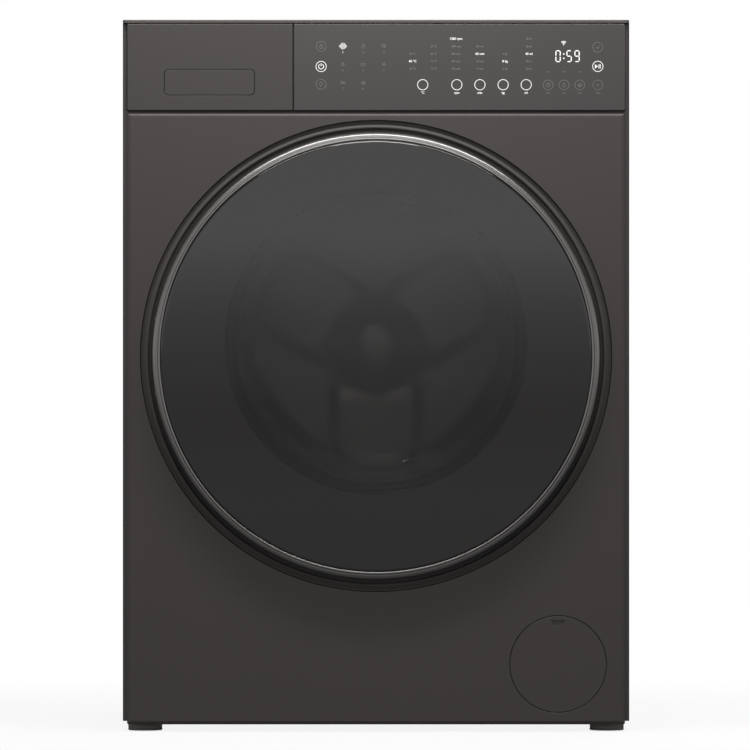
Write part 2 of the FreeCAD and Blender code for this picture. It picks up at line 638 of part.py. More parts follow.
def door_inner_frame():
    """Back cover of the door, around the bowl."""
    radius = TRIM_R - 7.0
    plate = rod_y(radius, -286.0, -283.4, 0.0, DOOR_Z).cut(rod_y(INNER_HOLE_R, -300.0, -270.0, 0.0, DRUM_Z))
    collar = ring_y(INNER_HOLE_R + 2.5, INNER_HOLE_R, -286.0, -281.4, 0.0, DRUM_Z)
    frame = joined([plate, collar]).cut(hinge_slots(0.9))
    knuckle_room = box(HINGE_X - 8.0, HINGE_X + 8.0, -290.0, -280.0, DOOR_Z - 27.0, DOOR_Z + 27.0)
    hook_room = box(HOOK_X - 8.0, HOOK_X + 8.0, -290.0, -280.0, DOOR_Z - 11.0, DOOR_Z + 11.0)
    holes = group(door_screw_shapes(0.3))
    return frame.cut(knuckle_room).cut(hook_room).cut(holes)


def door_screw_shapes(clearance=0.0):
    """Screws of the door's back cover; with a clearance, their holes."""
    screws = []
    for index in range(8):
        angle = math.radians(22.5 + 45.0 * index)
        x = 247.0 * math.cos(angle)
        z = DOOR_Z + 247.0 * math.sin(angle)
        shank = rod_y(2.0 + clearance, -300.0, -283.0, x, z)
        if clearance:
            screws.append(shank)
        else:
            screws.append(joined([shank, rod_y(3.8, -283.3, -281.2, x, z)]))
    return screws


def door_bowl():
    """Deep glass bowl that reaches into the mouth of the drum."""
    outer = [(BOWL_FLANGE_R, -291.0), (BOWL_FLANGE_R, -286.4), (171.0, -286.4), (168.0, -265.0), (156.0, -217.0),
             (151.0, -208.0), (142.0, -203.0), (120.0, -200.6), (0.0, -197.0)]
    inner = [(0.0, -201.5), (119.0, -205.2), (139.0, -207.6), (146.5, -211.5), (151.0, -219.0), (163.5, -267.0),
             (166.0, -291.0)]
    return turned(outer + inner, DRUM_Z)


def door_hook():
    """Sprung latch hook on the free side of the door."""
    stem = box(HOOK_X - 4.0, HOOK_X + 4.0, HOOK_PIN_Y, -258.0, DOOR_Z - 8.0, DOOR_Z + 8.0)
    nose = box(HOOK_X - 4.0, HOOK_X + 7.0, -262.0, -257.0, DOOR_Z - 8.0, DOOR_Z + 8.0)
    eye = rod_z(5.0, DOOR_Z - 8.0, DOOR_Z + 8.0, HOOK_X, HOOK_PIN_Y)
    bore = rod_z(HOOK_PIN_R + RUNNING, DOOR_Z - 20.0, DOOR_Z + 20.0, HOOK_X, HOOK_PIN_Y)
    return joined([stem, nose, eye]).cut(bore)


def door_gasket():
    """Rubber bellows between the loading port and the neck of the tub, with its sealing lip."""
    face = RECESS_Y + 1.2
    back = RECESS_Y + 12.0
    profile = [(174.0, face + 2.8), (175.5, face), (PORT_R - GAP, face), (PORT_R - GAP, back + GAP),
               (PORT_R + SHEET + GAP, back + GAP), (PORT_R + SHEET + GAP, face + 3.0), (210.2, face + 3.0),
               (210.2, back + 3.0), (189.0, back + 3.0), (187.6, back + 4.6), (187.6, -256.0), (189.0, -254.4),
               (199.0, -252.8), (199.0, -240.0), (NECK_R + TUB_WALL + GAP, -240.0),
               (NECK_R + TUB_WALL + GAP, NECK_Y - GAP), (187.4, -251.6), (184.8, -254.4), (184.8, back + 3.0),
               (187.4, back + 0.2), (201.0, back + 0.2), (201.0, face + 2.8)]
    return turned(profile, DRUM_Z)


def gasket_outer_clamp():
    """Spring band that holds the gasket on the front panel."""
    band = ring_y(212.6, 210.5, RECESS_Y + 5.0, RECESS_Y + 9.0, 0.0, DRUM_Z)
    barrel = rod_x(3.0, -11.0, 11.0, RECESS_Y + 7.0, DRUM_Z - 213.6)
    return joined([band, barrel])


# ---------------------------------------------------------------- tub and its suspension


def tub_front():
    """Front half of the tub with the neck for the gasket."""
    inner = TUB_R - TUB_WALL
    front = TUB_FRONT_Y + TUB_WALL
    profile = [(NECK_R, NECK_Y), (NECK_R + TUB_WALL, NECK_Y), (NECK_R + TUB_WALL, TUB_FRONT_Y),
               (TUB_R, TUB_FRONT_Y), (TUB_R, TUB_SPLIT_Y - 7.0), (TUB_FLANGE_R, TUB_SPLIT_Y - 7.0),
               (TUB_FLANGE_R, TUB_SPLIT_Y - 0.2), (inner, TUB_SPLIT_Y - 0.2), (inner, front), (NECK_R, front)]
    shell = turned(profile, DRUM_Z)
    spigots = [rod_z(18.0, 196.0, 232.0, DRAIN_HOSE_X, DRAIN_HOSE_Y),
               rod_z(18.0, 655.0, 702.0, HOSE_X, HOSE_Y)]
    bores = [rod_z(15.0, 190.0, 240.0, DRAIN_HOSE_X, DRAIN_HOSE_Y),
             rod_z(15.0, 640.0, 710.0, HOSE_X, HOSE_Y)]
    drum_room = rod_y(inner, front, TUB_SPLIT_Y, 0.0, DRUM_Z)
    return joined([shell] + spigots).cut(drum_room).cut(group(bores))


def tub_rear():
    """Back half of the tub with the bearing hub, heater sump and lifting ears."""
    inner = TUB_R - TUB_WALL
    back_inner = TUB_BACK_Y - TUB_WALL
    bore = BEARING_R + 0.02
    profile = [(inner, TUB_SPLIT_Y + 0.2), (TUB_FLANGE_R, TUB_SPLIT_Y + 0.2), (TUB_FLANGE_R, TUB_SPLIT_Y + 7.0),
               (TUB_R, TUB_SPLIT_Y + 7.0), (TUB_R, TUB_BACK_Y), (HUB_R, TUB_BACK_Y), (HUB_R, REAR_BEARING_Y[1]),
               (bore, REAR_BEARING_Y[1]), (bore, REAR_BEARING_Y[0] - 0.1), (26.0, REAR_BEARING_Y[0] - 0.1),
               (26.0, FRONT_BEARING_Y[1] + 0.1), (bore, FRONT_BEARING_Y[1] + 0.1), (bore, SEAL_Y[0]),
               (HUB_R, SEAL_Y[0]), (HUB_R, back_inner), (inner, back_inner)]
    shell = turned(profile, DRUM_Z)
    trough = box(-SUMP_X, SUMP_X, SUMP_Y[0], SUMP_Y[1], SUMP_Z, 212.0)
    pieces = [shell, trough]
    for side in (-1, 1):
        x = side * SPRING_X
        pieces.append(box(x - 9.0, x + 9.0, SPRING_Y - 8.0, SPRING_Y + 8.0, 580.0, 646.0))
        x = side * DAMPER_X
        pieces.append(box(x - 9.0, x + 9.0, DAMPER_Y - 14.0, DAMPER_Y + 14.0, 228.0, 260.0))
    body = joined(pieces)
    hollow = rod_y(inner, TUB_SPLIT_Y, back_inner, 0.0, DRUM_Z).cut(rod_y(HUB_R, 0.0, 400.0, 0.0, DRUM_Z))
    trough_room = box(-SUMP_X + 3.0, SUMP_X - 3.0, SUMP_Y[0] + 3.0, SUMP_Y[1] - 3.0, SUMP_Z + 3.0, 225.0)
    heater_way = box(-26.0, 26.0, SUMP_Y[1] - 4.0, SUMP_Y[1] + 1.0, SUMP_Z + 5.0, SUMP_Z + 17.3)
    return body.cut(hollow).cut(trough_room).cut(heater_way)


def drum_bearings():
    """Front and rear ball bearings of the drum shaft."""
    bearings = []
    for y0, y1 in (FRONT_BEARING_Y, REAR_BEARING_Y):
        body = ring_y(BEARING_R, SHAFT_R + RUNNING, y0, y1, 0.0, DRUM_Z)
        bearings.append(body)
    return group(bearings)


def shaft_seal():
    """Lip seal in front of the bearings."""
    return ring_y(BEARING_R - 0.2, SHAFT_R + RUNNING, SEAL_Y[0] + 0.3, SEAL_Y[1], 0.0, DRUM_Z)


def gasket_inner_clamp():
    """Band that holds the gasket on the neck of the tub."""
    band = ring_y(201.4, 199.3, -248.0, -243.0, 0.0, DRUM_Z)
    barrel = rod_x(3.0, -11.0, 11.0, -245.5, DRUM_Z - 202.0)
    return joined([band, barrel])


def counterweights():
    """Concrete blocks: two crescents around the neck and one block over the tub."""
    blocks = []
    for start in (22.0, 202.0):
        section = Part.makeCylinder(TUB_R - 2.0, 32.0, Vector(0, 0, 0), Vector(0, 0, 1), 136.0)
        section = section.cut(Part.makeCylinder(224.0, 40.0, Vector(0, 0, -2), Vector(0, 0, 1)))
        section.rotate(Vector(0, 0, 0), Vector(0, 0, 1), start)
        section.rotate(Vector(0, 0, 0), Vector(1, 0, 0), 90.0)
        section.translate(Vector(0.0, TUB_FRONT_Y - GAP, DRUM_Z))
        blocks.append(section)
    tub_room = rod_y(TUB_R + GAP, -300.0, 300.0, 0.0, DRUM_Z)
    top = box(-88.0, 140.0, -190.0, TUB_SPLIT_Y - 12.0, 690.0, 775.0).cut(tub_room)
    rear_top = box(-160.0, 160.0, TUB_SPLIT_Y + 12.0, 190.0, 655.0, 752.0)
    rear_top = rear_top.cut(rod_y(TUB_R + GAP, -300.0, 300.0, 0.0, DRUM_Z))
    blocks.append(top)
    blocks.append(rear_top)
    return group(blocks)


def heater():
    """Hairpin heating element in the sump, with its flange in the back wall of the sump."""
    height = SUMP_Z + 11.0
    front = SUMP_Y[0] + 12.0
    legs = []
    for x in (-18.0, 18.0):
        legs.append(rod_y(4.0, front + 18.0, SUMP_Y[1] + 2.0, x, height))
    bend = Part.makeTorus(18.0, 4.0, Vector(0, front + 18.0, height), Vector(0, 0, 1))
    bend = bend.common(box(-30.0, 30.0, front - 10.0, front + 18.05, height - 10.0, height + 10.0))
    flange = box(-25.7, 25.7, SUMP_Y[1] - 3.5, SUMP_Y[1] + 3.0, SUMP_Z + 5.3, SUMP_Z + 17.0)
    return joined(legs + [bend, flange])


def stator():
    """Wound stator of the direct-drive motor, bolted to the tub."""
    yoke = ring_y(84.0, HUB_R + 1.0, TUB_BACK_Y + 0.2, TUB_BACK_Y + 34.0, 0.0, DRUM_Z)
    poles = []
    for index in range(24):
        pole = box(-4.5, 4.5, TUB_BACK_Y + 4.0, TUB_BACK_Y + 30.0, DRUM_Z + 82.0, DRUM_Z + 112.0)
        poles.append(about_y(pole, 15.0 * index, 0.0, DRUM_Z))
    return joined([yoke] + poles)


def damper_rods():
    """Rods of the two friction dampers, hung under the tub."""
    rods = []
    for x in (-DAMPER_X, DAMPER_X):
        rods.append(joined([rod_z(6.0, 84.0, 222.0, x, DAMPER_Y), rod_z(9.0, 214.0, 227.8, x, DAMPER_Y)]))
    return group(rods)


def damper_cylinders():
    """Cylinders of the dampers, standing on the base tray."""
    cylinders = []
    for x in (-DAMPER_X, DAMPER_X):
        cylinder = rod_z(13.0, 30.1, 168.0, x, DAMPER_Y)
        cylinders.append(cylinder.cut(rod_z(6.0 + RUNNING, 66.0, 170.0, x, DAMPER_Y)))
    return group(cylinders)


def suspension_springs():
    """Two coil springs from the cabinet brackets to the ears of the tub."""
    springs = []
    for side in (-1, 1):
        springs.append(ring_z(SPRING_R, SPRING_R - 4.0, 646.2, 799.8, side * SPRING_X, SPRING_Y))
    return group(springs)


# ---------------------------------------------------------------- drum and rotor


def drum_shell():
    """Wrapped wall of the drum."""
    return ring_y(DRUM_R, DRUM_R - DRUM_SHEET, DRUM_FRONT_Y + 0.2, DRUM_BACK_Y - 0.2, 0.0, DRUM_Z)


def drum_front_ring():
    """Front of the drum, with the rolled edge of its mouth."""
    outer = DRUM_R + 1.5
    front = DRUM_FRONT_Y - 1.6
    profile = [(MOUTH_R - 1.6, front - 8.0), (MOUTH_R, front - 8.0), (MOUTH_R, front), (outer, front),
               (outer, DRUM_FRONT_Y + 14.0), (DRUM_R + 0.1, DRUM_FRONT_Y + 14.0), (DRUM_R + 0.1, DRUM_FRONT_Y),
               (MOUTH_R - 1.6, DRUM_FRONT_Y)]
    return turned(profile, DRUM_Z)


def drum_back():
    """Dished back of the drum with three stiffening lobes."""
    outer = DRUM_R + 1.5
    profile = [(0.0, DRUM_BACK_Y - 26.0), (24.0, DRUM_BACK_Y - 25.0), (48.0, DRUM_BACK_Y - 16.0),
               (70.0, DRUM_BACK_Y - 8.0), (DRUM_R + 0.1, DRUM_BACK_Y), (DRUM_R + 0.1, DRUM_BACK_Y - 14.0),
               (outer, DRUM_BACK_Y - 14.0), (outer, DRUM_BACK_Y + 1.6), (70.0, DRUM_BACK_Y - 6.0),
               (48.0, DRUM_BACK_Y - 14.0), (24.0, DRUM_BACK_Y - 23.0), (0.0, DRUM_BACK_Y - 24.0)]
    return turned(profile, DRUM_Z)


def drum_lifters():
    """Three paddles along the inside of the drum, one of them at the bottom."""
    inner = DRUM_R - DRUM_SHEET - 0.2
    paddles = []
    for index in range(3):
        base = -inner + 2.0
        points = [Vector(-34, 0, base), Vector(34, 0, base),
                  Vector(15, 0, base + 52.0), Vector(-15, 0, base + 52.0)]
        section = Part.Face(Part.makePolygon(points + [points[0]]))
        paddle = section.extrude(Vector(0, DRUM_BACK_Y - DRUM_FRONT_Y - 60.0, 0))
        paddle.translate(Vector(0, DRUM_FRONT_Y + 22.0, DRUM_Z))
        long_edges = [edge for edge in paddle.Edges if edge.BoundBox.YLength > 100.0
                      and edge.BoundBox.ZMin > DRUM_Z + base + 40.0]
        paddle = paddle.makeFillet(9.0, long_edges)
        paddle = paddle.common(rod_y(inner, -300.0, 300.0, 0.0, DRUM_Z))
        paddles.append(about_y(paddle, 120.0 * index, 0.0, DRUM_Z))
    return group(paddles)


def spider_shaft():
    """Three-armed cast spider with the steel shaft pressed in."""
    front = DRUM_BACK_Y + 2.2
    hub = rod_y(34.0, DRUM_BACK_Y - 4.0, SEAL_Y[0] - 0.6, 0.0, DRUM_Z)
    arms = []
    for index in range(3):
        arm = box(-13.0, 13.0, front, front + 15.0, DRUM_Z, DRUM_Z + DRUM_R - 8.0)
        arms.append(about_y(arm, 60.0 + 120.0 * index, 0.0, DRUM_Z))
    shaft = rod_y(SHAFT_R, DRUM_BACK_Y, ROTOR_BACK_Y + 6.0, 0.0, DRUM_Z)
    stud = rod_y(9.0, ROTOR_BACK_Y, ROTOR_BACK_Y + 18.0, 0.0, DRUM_Z)
    return joined([hub, shaft, stud] + arms)


def rotor():
    """Magnet cup of the direct-drive motor."""
    front = TUB_BACK_Y + 4.0
    profile = [(SHAFT_R + 0.02, ROTOR_BACK_Y - 8.0), (40.0, ROTOR_BACK_Y - 5.0), (130.0, ROTOR_BACK_Y - 5.0),
               (130.0, front), (118.0, front), (118.0, ROTOR_BACK_Y - 8.0), (44.0, ROTOR_BACK_Y - 8.0),
               (40.0, ROTOR_BACK_Y - 9.5), (SHAFT_R + 0.02, ROTOR_BACK_Y - 9.5)]
    flat = turned([(SHAFT_R + 0.02, ROTOR_BACK_Y - 9.5), (34.0, ROTOR_BACK_Y - 9.5), (34.0, ROTOR_BACK_Y + 5.5),
                   (SHAFT_R + 0.02, ROTOR_BACK_Y + 5.5)], DRUM_Z)
    return joined([turned(profile, DRUM_Z), flat])


# ---------------------------------------------------------------- drain


def filter_cover():
    """Round cover with a finger notch, hinged at its lower edge."""
    disc = rod_y(FILTER_COVER_R, FRONT_Y, FRONT_Y + 2.6, FILTER_X, FILTER_Z)
    rims = [edge for edge in disc.Edges if edge.BoundBox.YMax < FRONT_Y + 0.01]
    disc = disc.makeFillet(0.6, rims)
    notch = rod_y(8.6, FRONT_Y - 1.0, FRONT_Y + 1.8, FILTER_X, FILTER_Z + FILTER_COVER_R - 2.6)
    notch = notch.cut(box(FILTER_X - 20.0, FILTER_X + 20.0, -300.0, -280.0, FILTER_Z + FILTER_COVER_R - 4.8,
                          FILTER_Z + 80.0))
    return disc.cut(notch)


def pump_housing():
    """Filter barrel, inlet arm, volute and motor of the drain pump in one housing."""
    flange = rod_y(FILTER_COVER_R + 3.5, PUMP_FRONT_Y, PUMP_FRONT_Y + 2.5, FILTER_X, FILTER_Z)
    barrel = rod_y(FILTER_TUBE_R, PUMP_FRONT_Y, VOLUTE_Y[1], FILTER_X, FILTER_Z)
    motor = rod_y(30.0, VOLUTE_Y[1] - 0.5, -60.0, FILTER_X, FILTER_Z)
    arm = rod_x(15.0, DRAIN_HOSE_X - 12.0, FILTER_X, DRAIN_HOSE_Y - 45.0, FILTER_Z)
    elbow = rod_z(18.0, FILTER_Z - 15.0, 124.0, DRAIN_HOSE_X, DRAIN_HOSE_Y)
    link = box(DRAIN_HOSE_X - 15.0, DRAIN_HOSE_X + 15.0, DRAIN_HOSE_Y - 56.0, DRAIN_HOSE_Y,
               FILTER_Z - 15.0, FILTER_Z + 15.0)
    tower = box(DRAIN_X - 16.0, DRAIN_X + 14.0, VOLUTE_Y[0] + 6.0, VOLUTE_Y[1], FILTER_Z, PUMP_OUT_Z + 14.0)
    outlet = rod_y(12.0, VOLUTE_Y[1] - 1.0, VOLUTE_Y[1] + 26.0, DRAIN_X, PUMP_OUT_Z)
    body = joined([flange, barrel, motor, arm, elbow, link, tower, outlet])
    filter_room = rod_y(FILTER_TUBE_R - 3.5, PUMP_FRONT_Y - 1.0, VOLUTE_Y[0], FILTER_X, FILTER_Z)
    volute_room = rod_y(26.0, VOLUTE_Y[0] - 1.0, VOLUTE_Y[1] - 4.0, FILTER_X, FILTER_Z)
    arm_room = rod_x(12.0, DRAIN_HOSE_X, FILTER_X, DRAIN_HOSE_Y - 45.0, FILTER_Z)
    elbow_room = rod_z(15.0, FILTER_Z - 8.0, 126.0, DRAIN_HOSE_X, DRAIN_HOSE_Y)
    link_room = box(DRAIN_HOSE_X - 12.0, DRAIN_HOSE_X + 12.0, DRAIN_HOSE_Y - 53.0, DRAIN_HOSE_Y,
                    FILTER_Z - 8.0, FILTER_Z + 12.0)
    outlet_room = rod_y(9.0, VOLUTE_Y[0] + 10.0, VOLUTE_Y[1] + 30.0, DRAIN_X, PUMP_OUT_Z)
    tower_room = box(DRAIN_X - 12.0, DRAIN_X + 9.0, VOLUTE_Y[0] + 10.0, VOLUTE_Y[1] - 4.0,
                     FILTER_Z + 4.0, PUMP_OUT_Z + 9.0)
    rooms = [filter_room, volute_room, arm_room, elbow_room, link_room, outlet_room, tower_room]
    return body.cut(joined(rooms))


def filter_cap():
    """Screw-in filter with its grip bar."""
    radius = FILTER_TUBE_R - 3.5 - RUNNING
    plug = rod_y(radius, PUMP_FRONT_Y + 6.0, PUMP_FRONT_Y + 22.0, FILTER_X, FILTER_Z)
    grip = box(FILTER_X - 4.0, FILTER_X + 4.0, PUMP_FRONT_Y - 1.0, PUMP_FRONT_Y + 8.0,
               FILTER_Z - 27.0, FILTER_Z + 27.0)
    basket = ring_y(22.0, 19.5, PUMP_FRONT_Y + 20.0, VOLUTE_Y[0] - 8.0, FILTER_X, FILTER_Z)
    windows = []
    for index in range(6):
        window = box(FILTER_X - 6.0, FILTER_X + 6.0, PUMP_FRONT_Y + 32.0, VOLUTE_Y[0] - 16.0, FILTER_Z + 10.0,
                     FILTER_Z + 30.0)
        windows.append(about_y(window, 60.0 * index, FILTER_X, FILTER_Z))
    return joined([plug, grip, basket]).cut(group(windows))


def pump_impeller():
    """Four-bladed impeller in the volute."""
    y0 = VOLUTE_Y[0] + 4.0
    y1 = VOLUTE_Y[1] - 5.0
    blades = [rod_y(8.0, y0, y1, FILTER_X, FILTER_Z)]
    for index in range(4):
        blade = box(FILTER_X - 1.0, FILTER_X + 1.0, y0, y1, FILTER_Z, FILTER_Z + 22.0)
        blades.append(about_y(blade, 90.0 * index, FILTER_X, FILTER_Z))
    return joined(blades)


def sump_hose():
    """Bellows hose from the tub down to the pump."""
    return ring_z(21.0, 18.3, 104.0, 208.0, DRAIN_HOSE_X, DRAIN_HOSE_Y)


def drain_tube():
    """Tube from the pump to the hose spigot that stands out of the back."""
    start = VOLUTE_Y[1] + 8.0
    route = [(DRAIN_X, start, PUMP_OUT_Z), (DRAIN_X, -20.0, PUMP_OUT_Z), (DRAIN_X, 90.0, DRAIN_Z),
             (DRAIN_X, REAR_Y - 4.0, DRAIN_Z)]
    tube = hose(route, 15.0, 12.3, 70.0)
    spigot = ring_y(DRAIN_R, 8.5, REAR_Y - 10.0, REACH, DRAIN_X, DRAIN_Z)
    collar = ring_y(DRAIN_COLLAR_R, 8.5, REAR_Y - 10.0, REAR_Y + 2.0, DRAIN_X, DRAIN_Z)
    return joined([tube, collar, spigot])


def cord_gland():
    """Plastic bush where the supply cord enters the back."""
    body = rod_y(8.0, INNER_REAR_Y - 12.0, REAR_Y + 1.0, GLAND_X, GLAND_Z)
    head = rod_y(13.0, REAR_Y, REAR_Y + 9.0, GLAND_X, GLAND_Z)
    rims = [edge for edge in head.Edges if edge.BoundBox.YMin > REAR_Y + 8.9]
    head = head.makeFillet(2.0, rims)
    return joined([body, head]).cut(rod_y(4.0, 200.0, 400.0, GLAND_X, GLAND_Z))


# ---------------------------------------------------------------- write every node
def main():
    """Build each node and write its file."""
    os.makedirs("parts", exist_ok=True)
    makers = [cabinet_shell, front_panel, top_panel, rear_cover, base_tray, foot_locknuts, transit_bolt_caps,
              console_frame, console_glass, control_module, main_board_box, dispenser_housing, drawer_front,
              drawer_flap, drawer_tray, dispenser_hose, inlet_valves, inlet_hoses, door_surround_ring, door_lock,
              hinge_bracket, door_hinge_leaf, door_frame, door_trim_ring, door_glass, door_inner_frame, door_bowl,
              door_hook, door_gasket, gasket_outer_clamp, tub_front, tub_rear, drum_bearings, shaft_seal,
              gasket_inner_clamp, counterweights, heater, stator, damper_rods, damper_cylinders,
              suspension_springs, drum_shell, drum_front_ring, drum_back, drum_lifters, spider_shaft, rotor,
              filter_cover, pump_housing, filter_cap, pump_impeller, sump_hose, drain_tube, cord_gland]
    for maker in makers:
        save(maker.__name__, maker())
    save("rear_screws", group(rear_screw_shapes()))
    save("door_screws", group(door_screw_shapes()))
    for node, x, y in foot_places():
        save(node, levelling_foot(x, y))


main()
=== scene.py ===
import math

import bmesh
import bpy
from mathutils import Matrix, Vector


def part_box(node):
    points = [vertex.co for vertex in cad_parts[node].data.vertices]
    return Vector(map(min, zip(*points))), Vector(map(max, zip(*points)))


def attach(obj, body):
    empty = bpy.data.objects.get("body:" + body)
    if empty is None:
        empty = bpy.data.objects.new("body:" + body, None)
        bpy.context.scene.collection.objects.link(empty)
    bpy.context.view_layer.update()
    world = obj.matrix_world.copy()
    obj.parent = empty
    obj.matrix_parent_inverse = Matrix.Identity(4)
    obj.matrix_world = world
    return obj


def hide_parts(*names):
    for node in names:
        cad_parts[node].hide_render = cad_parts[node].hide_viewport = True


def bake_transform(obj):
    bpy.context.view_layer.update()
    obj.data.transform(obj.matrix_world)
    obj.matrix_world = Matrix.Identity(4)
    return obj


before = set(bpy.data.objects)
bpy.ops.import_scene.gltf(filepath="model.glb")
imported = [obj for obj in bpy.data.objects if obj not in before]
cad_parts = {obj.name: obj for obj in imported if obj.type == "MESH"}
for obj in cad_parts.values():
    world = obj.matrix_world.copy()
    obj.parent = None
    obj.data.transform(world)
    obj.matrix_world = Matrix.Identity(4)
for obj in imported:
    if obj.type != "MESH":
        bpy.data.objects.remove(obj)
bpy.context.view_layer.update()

# ---------------------------------------------------------------- places, read from the frame
MM = 0.001
TURN = 2.0 * math.pi


def middle(node):
    """Centre of a node's box."""
    low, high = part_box(node)
    return (low + high) / 2.0


GLASS_LOW, GLASS_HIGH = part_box("door_glass")
DOOR_Z = middle("door_glass").z
GLASS_R = (GLASS_HIGH.x - GLASS_LOW.x) / 2.0
CROWN_Y = GLASS_LOW.y
TRIM_LOW, TRIM_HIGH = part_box("door_trim_ring")
TRIM_R = (TRIM_HIGH.x - TRIM_LOW.x) / 2.0
SURROUND_LOW, SURROUND_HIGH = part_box("door_surround_ring")
SURROUND_R = (SURROUND_HIGH.x - SURROUND_LOW.x) / 2.0
PANEL_LOW, PANEL_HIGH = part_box("front_panel")
FRONT_Y = PANEL_LOW.y
SHELL_LOW, SHELL_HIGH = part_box("drum_shell")
DRUM_Z = middle("drum_shell").z
DRUM_R = (SHELL_HIGH.x - SHELL_LOW.x) / 2.0
FACE_LOW, FACE_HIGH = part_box("console_glass")
DRAWER_LOW, DRAWER_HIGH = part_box("drawer_front")
FLAP_LOW, FLAP_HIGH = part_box("drawer_flap")
COVER_LOW, COVER_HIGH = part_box("filter_cover")
CABINET_LOW, CABINET_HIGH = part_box("cabinet_shell")


# ---------------------------------------------------------------- materials
def new_material(name):
    """Empty principled material: the material, its nodes, its links and its shader."""
    material = bpy.data.materials.new(name)
    material.use_nodes = True
    nodes = material.node_tree.nodes
    return material, nodes, material.node_tree.links, nodes["Principled BSDF"]


def finish_surface(name, colour, roughness, metallic=0.0, grain=900.0, bump=0.02, mottle=0.08,
                   rough_spread=0.06, coat=0.0, coat_roughness=0.2, stretch=(1.0, 1.0, 1.0), specular=0.5):
    """Opaque surface with fine grain in its relief, its colour and its roughness."""
    material, nodes, links, shader = new_material(name)
    shader.inputs["Metallic"].default_value = metallic
    shader.inputs["Coat Weight"].default_value = coat
    shader.inputs["Coat Roughness"].default_value = coat_roughness
    shader.inputs["Specular IOR Level"].default_value = specular
    place = nodes.new("ShaderNodeTexCoord")
    mapping = nodes.new("ShaderNodeMapping")
    mapping.inputs["Scale"].default_value = stretch
    links.new(place.outputs["Object"], mapping.inputs["Vector"])
    fine = nodes.new("ShaderNodeTexNoise")
    fine.inputs["Scale"].default_value = grain
    fine.inputs["Detail"].default_value = 3.0
    links.new(mapping.outputs["Vector"], fine.inputs["Vector"])
    broad = nodes.new("ShaderNodeTexNoise")
    broad.inputs["Scale"].default_value = 7.0
    broad.inputs["Detail"].default_value = 4.0
    links.new(mapping.outputs["Vector"], broad.inputs["Vector"])
    blend = nodes.new("ShaderNodeMix")
    blend.data_type = "RGBA"
    darker = [channel * (1.0 - mottle) for channel in colour]
    lighter = [min(1.0, channel * (1.0 + mottle)) for channel in colour]
    blend.inputs["A"].default_value = (*darker, 1.0)
    blend.inputs["B"].default_value = (*lighter, 1.0)
    links.new(broad.outputs["Fac"], blend.inputs["Factor"])
    links.new(blend.outputs["Result"], shader.inputs["Base Color"])
    spread = nodes.new("ShaderNodeMapRange")
    spread.inputs["To Min"].default_value = max(0.02, roughness - rough_spread)
    spread.inputs["To Max"].default_value = min(1.0, roughness + rough_spread)
    links.new(fine.outputs["Fac"], spread.inputs["Value"])
    links.new(spread.outputs["Result"], shader.inputs["Roughness"])
    relief = nodes.new("ShaderNodeBump")
    relief.inputs["Strength"].default_value = bump
    relief.inputs["Distance"].default_value = 0.0004
    links.new(fine.outputs["Fac"], relief.inputs["Height"])
    links.new(relief.outputs["Normal"], shader.inputs["Normal"])
    return material


def clear_surface(name, colour, roughness, ior=1.5, smear=0.02):
    """Glass with a faint unevenness in its polish."""
    material, nodes, links, shader = new_material(name)
    shader.inputs["Transmission Weight"].default_value = 1.0
    shader.inputs["IOR"].default_value = ior
    place = nodes.new("ShaderNodeTexCoord")
    cloud = nodes.new("ShaderNodeTexNoise")
    cloud.inputs["Scale"].default_value = 5.0
    cloud.inputs["Detail"].default_value = 3.0
    links.new(place.outputs["Object"], cloud.inputs["Vector"])
    spread = nodes.new("ShaderNodeMapRange")
    spread.inputs["To Min"].default_value = roughness
    spread.inputs["To Max"].default_value = roughness + smear
    links.new(cloud.outputs["Fac"], spread.inputs["Value"])
    links.new(spread.outputs["Result"], shader.inputs["Roughness"])
    tint = nodes.new("ShaderNodeMix")
    tint.data_type = "RGBA"
    tint.inputs["A"].default_value = (*[channel * 0.96 for channel in colour], 1.0)
    tint.inputs["B"].default_value = (*colour, 1.0)
    links.new(cloud.outputs["Fac"], tint.inputs["Factor"])
    links.new(tint.outputs["Result"], shader.inputs["Base Color"])
    return material


def glowing_surface(name, colour, strength):
    """Lit print or display segment, with a slight unevenness across it."""
    material, nodes, links, shader = new_material(name)
    shader.inputs["Roughness"].default_value = 0.5
    shader.inputs["Emission Strength"].default_value = strength
    place = nodes.new("ShaderNodeTexCoord")
    cloud = nodes.new("ShaderNodeTexNoise")
    cloud.inputs["Scale"].default_value = 300.0
    links.new(place.outputs["Object"], cloud.inputs["Vector"])
    tint = nodes.new("ShaderNodeMix")
    tint.data_type = "RGBA"
    tint.inputs["A"].default_value = (*[channel * 0.88 for channel in colour], 1.0)
    tint.inputs["B"].default_value = (*colour, 1.0)
    links.new(cloud.outputs["Fac"], tint.inputs["Factor"])
    links.new(tint.outputs["Result"], shader.inputs["Base Color"])
    links.new(tint.outputs["Result"], shader.inputs["Emission Color"])
    return material


GRAPHITE = (0.048, 0.0418, 0.0398)
PAINT = finish_surface("graphite_paint", GRAPHITE, 0.42, metallic=0.15, grain=1400.0, bump=0.05, mottle=0.03,
                       coat=0.05, coat_roughness=0.35, specular=0.35)
SIDE_PAINT = finish_surface("side_paint", (0.043, 0.038, 0.036), 0.48, metallic=0.1, grain=1400.0, bump=0.08,
                            mottle=0.04)
TOP_FINISH = finish_surface("top_texture", (0.050, 0.044, 0.042), 0.5, grain=1100.0, bump=0.25, mottle=0.06)
DRAWER_FINISH = finish_surface("drawer_plastic", (0.0305, 0.0264, 0.0253), 0.40, grain=1600.0, bump=0.04,
                               mottle=0.03)
SURROUND_FINISH = finish_surface("surround_plastic", (0.050, 0.0437, 0.0413), 0.66, grain=1500.0, bump=0.05,
                                 mottle=0.04)
DARK_PLASTIC = finish_surface("dark_plastic", (0.018, 0.017, 0.0165), 0.5, grain=1200.0, bump=0.15,
                              mottle=0.08)
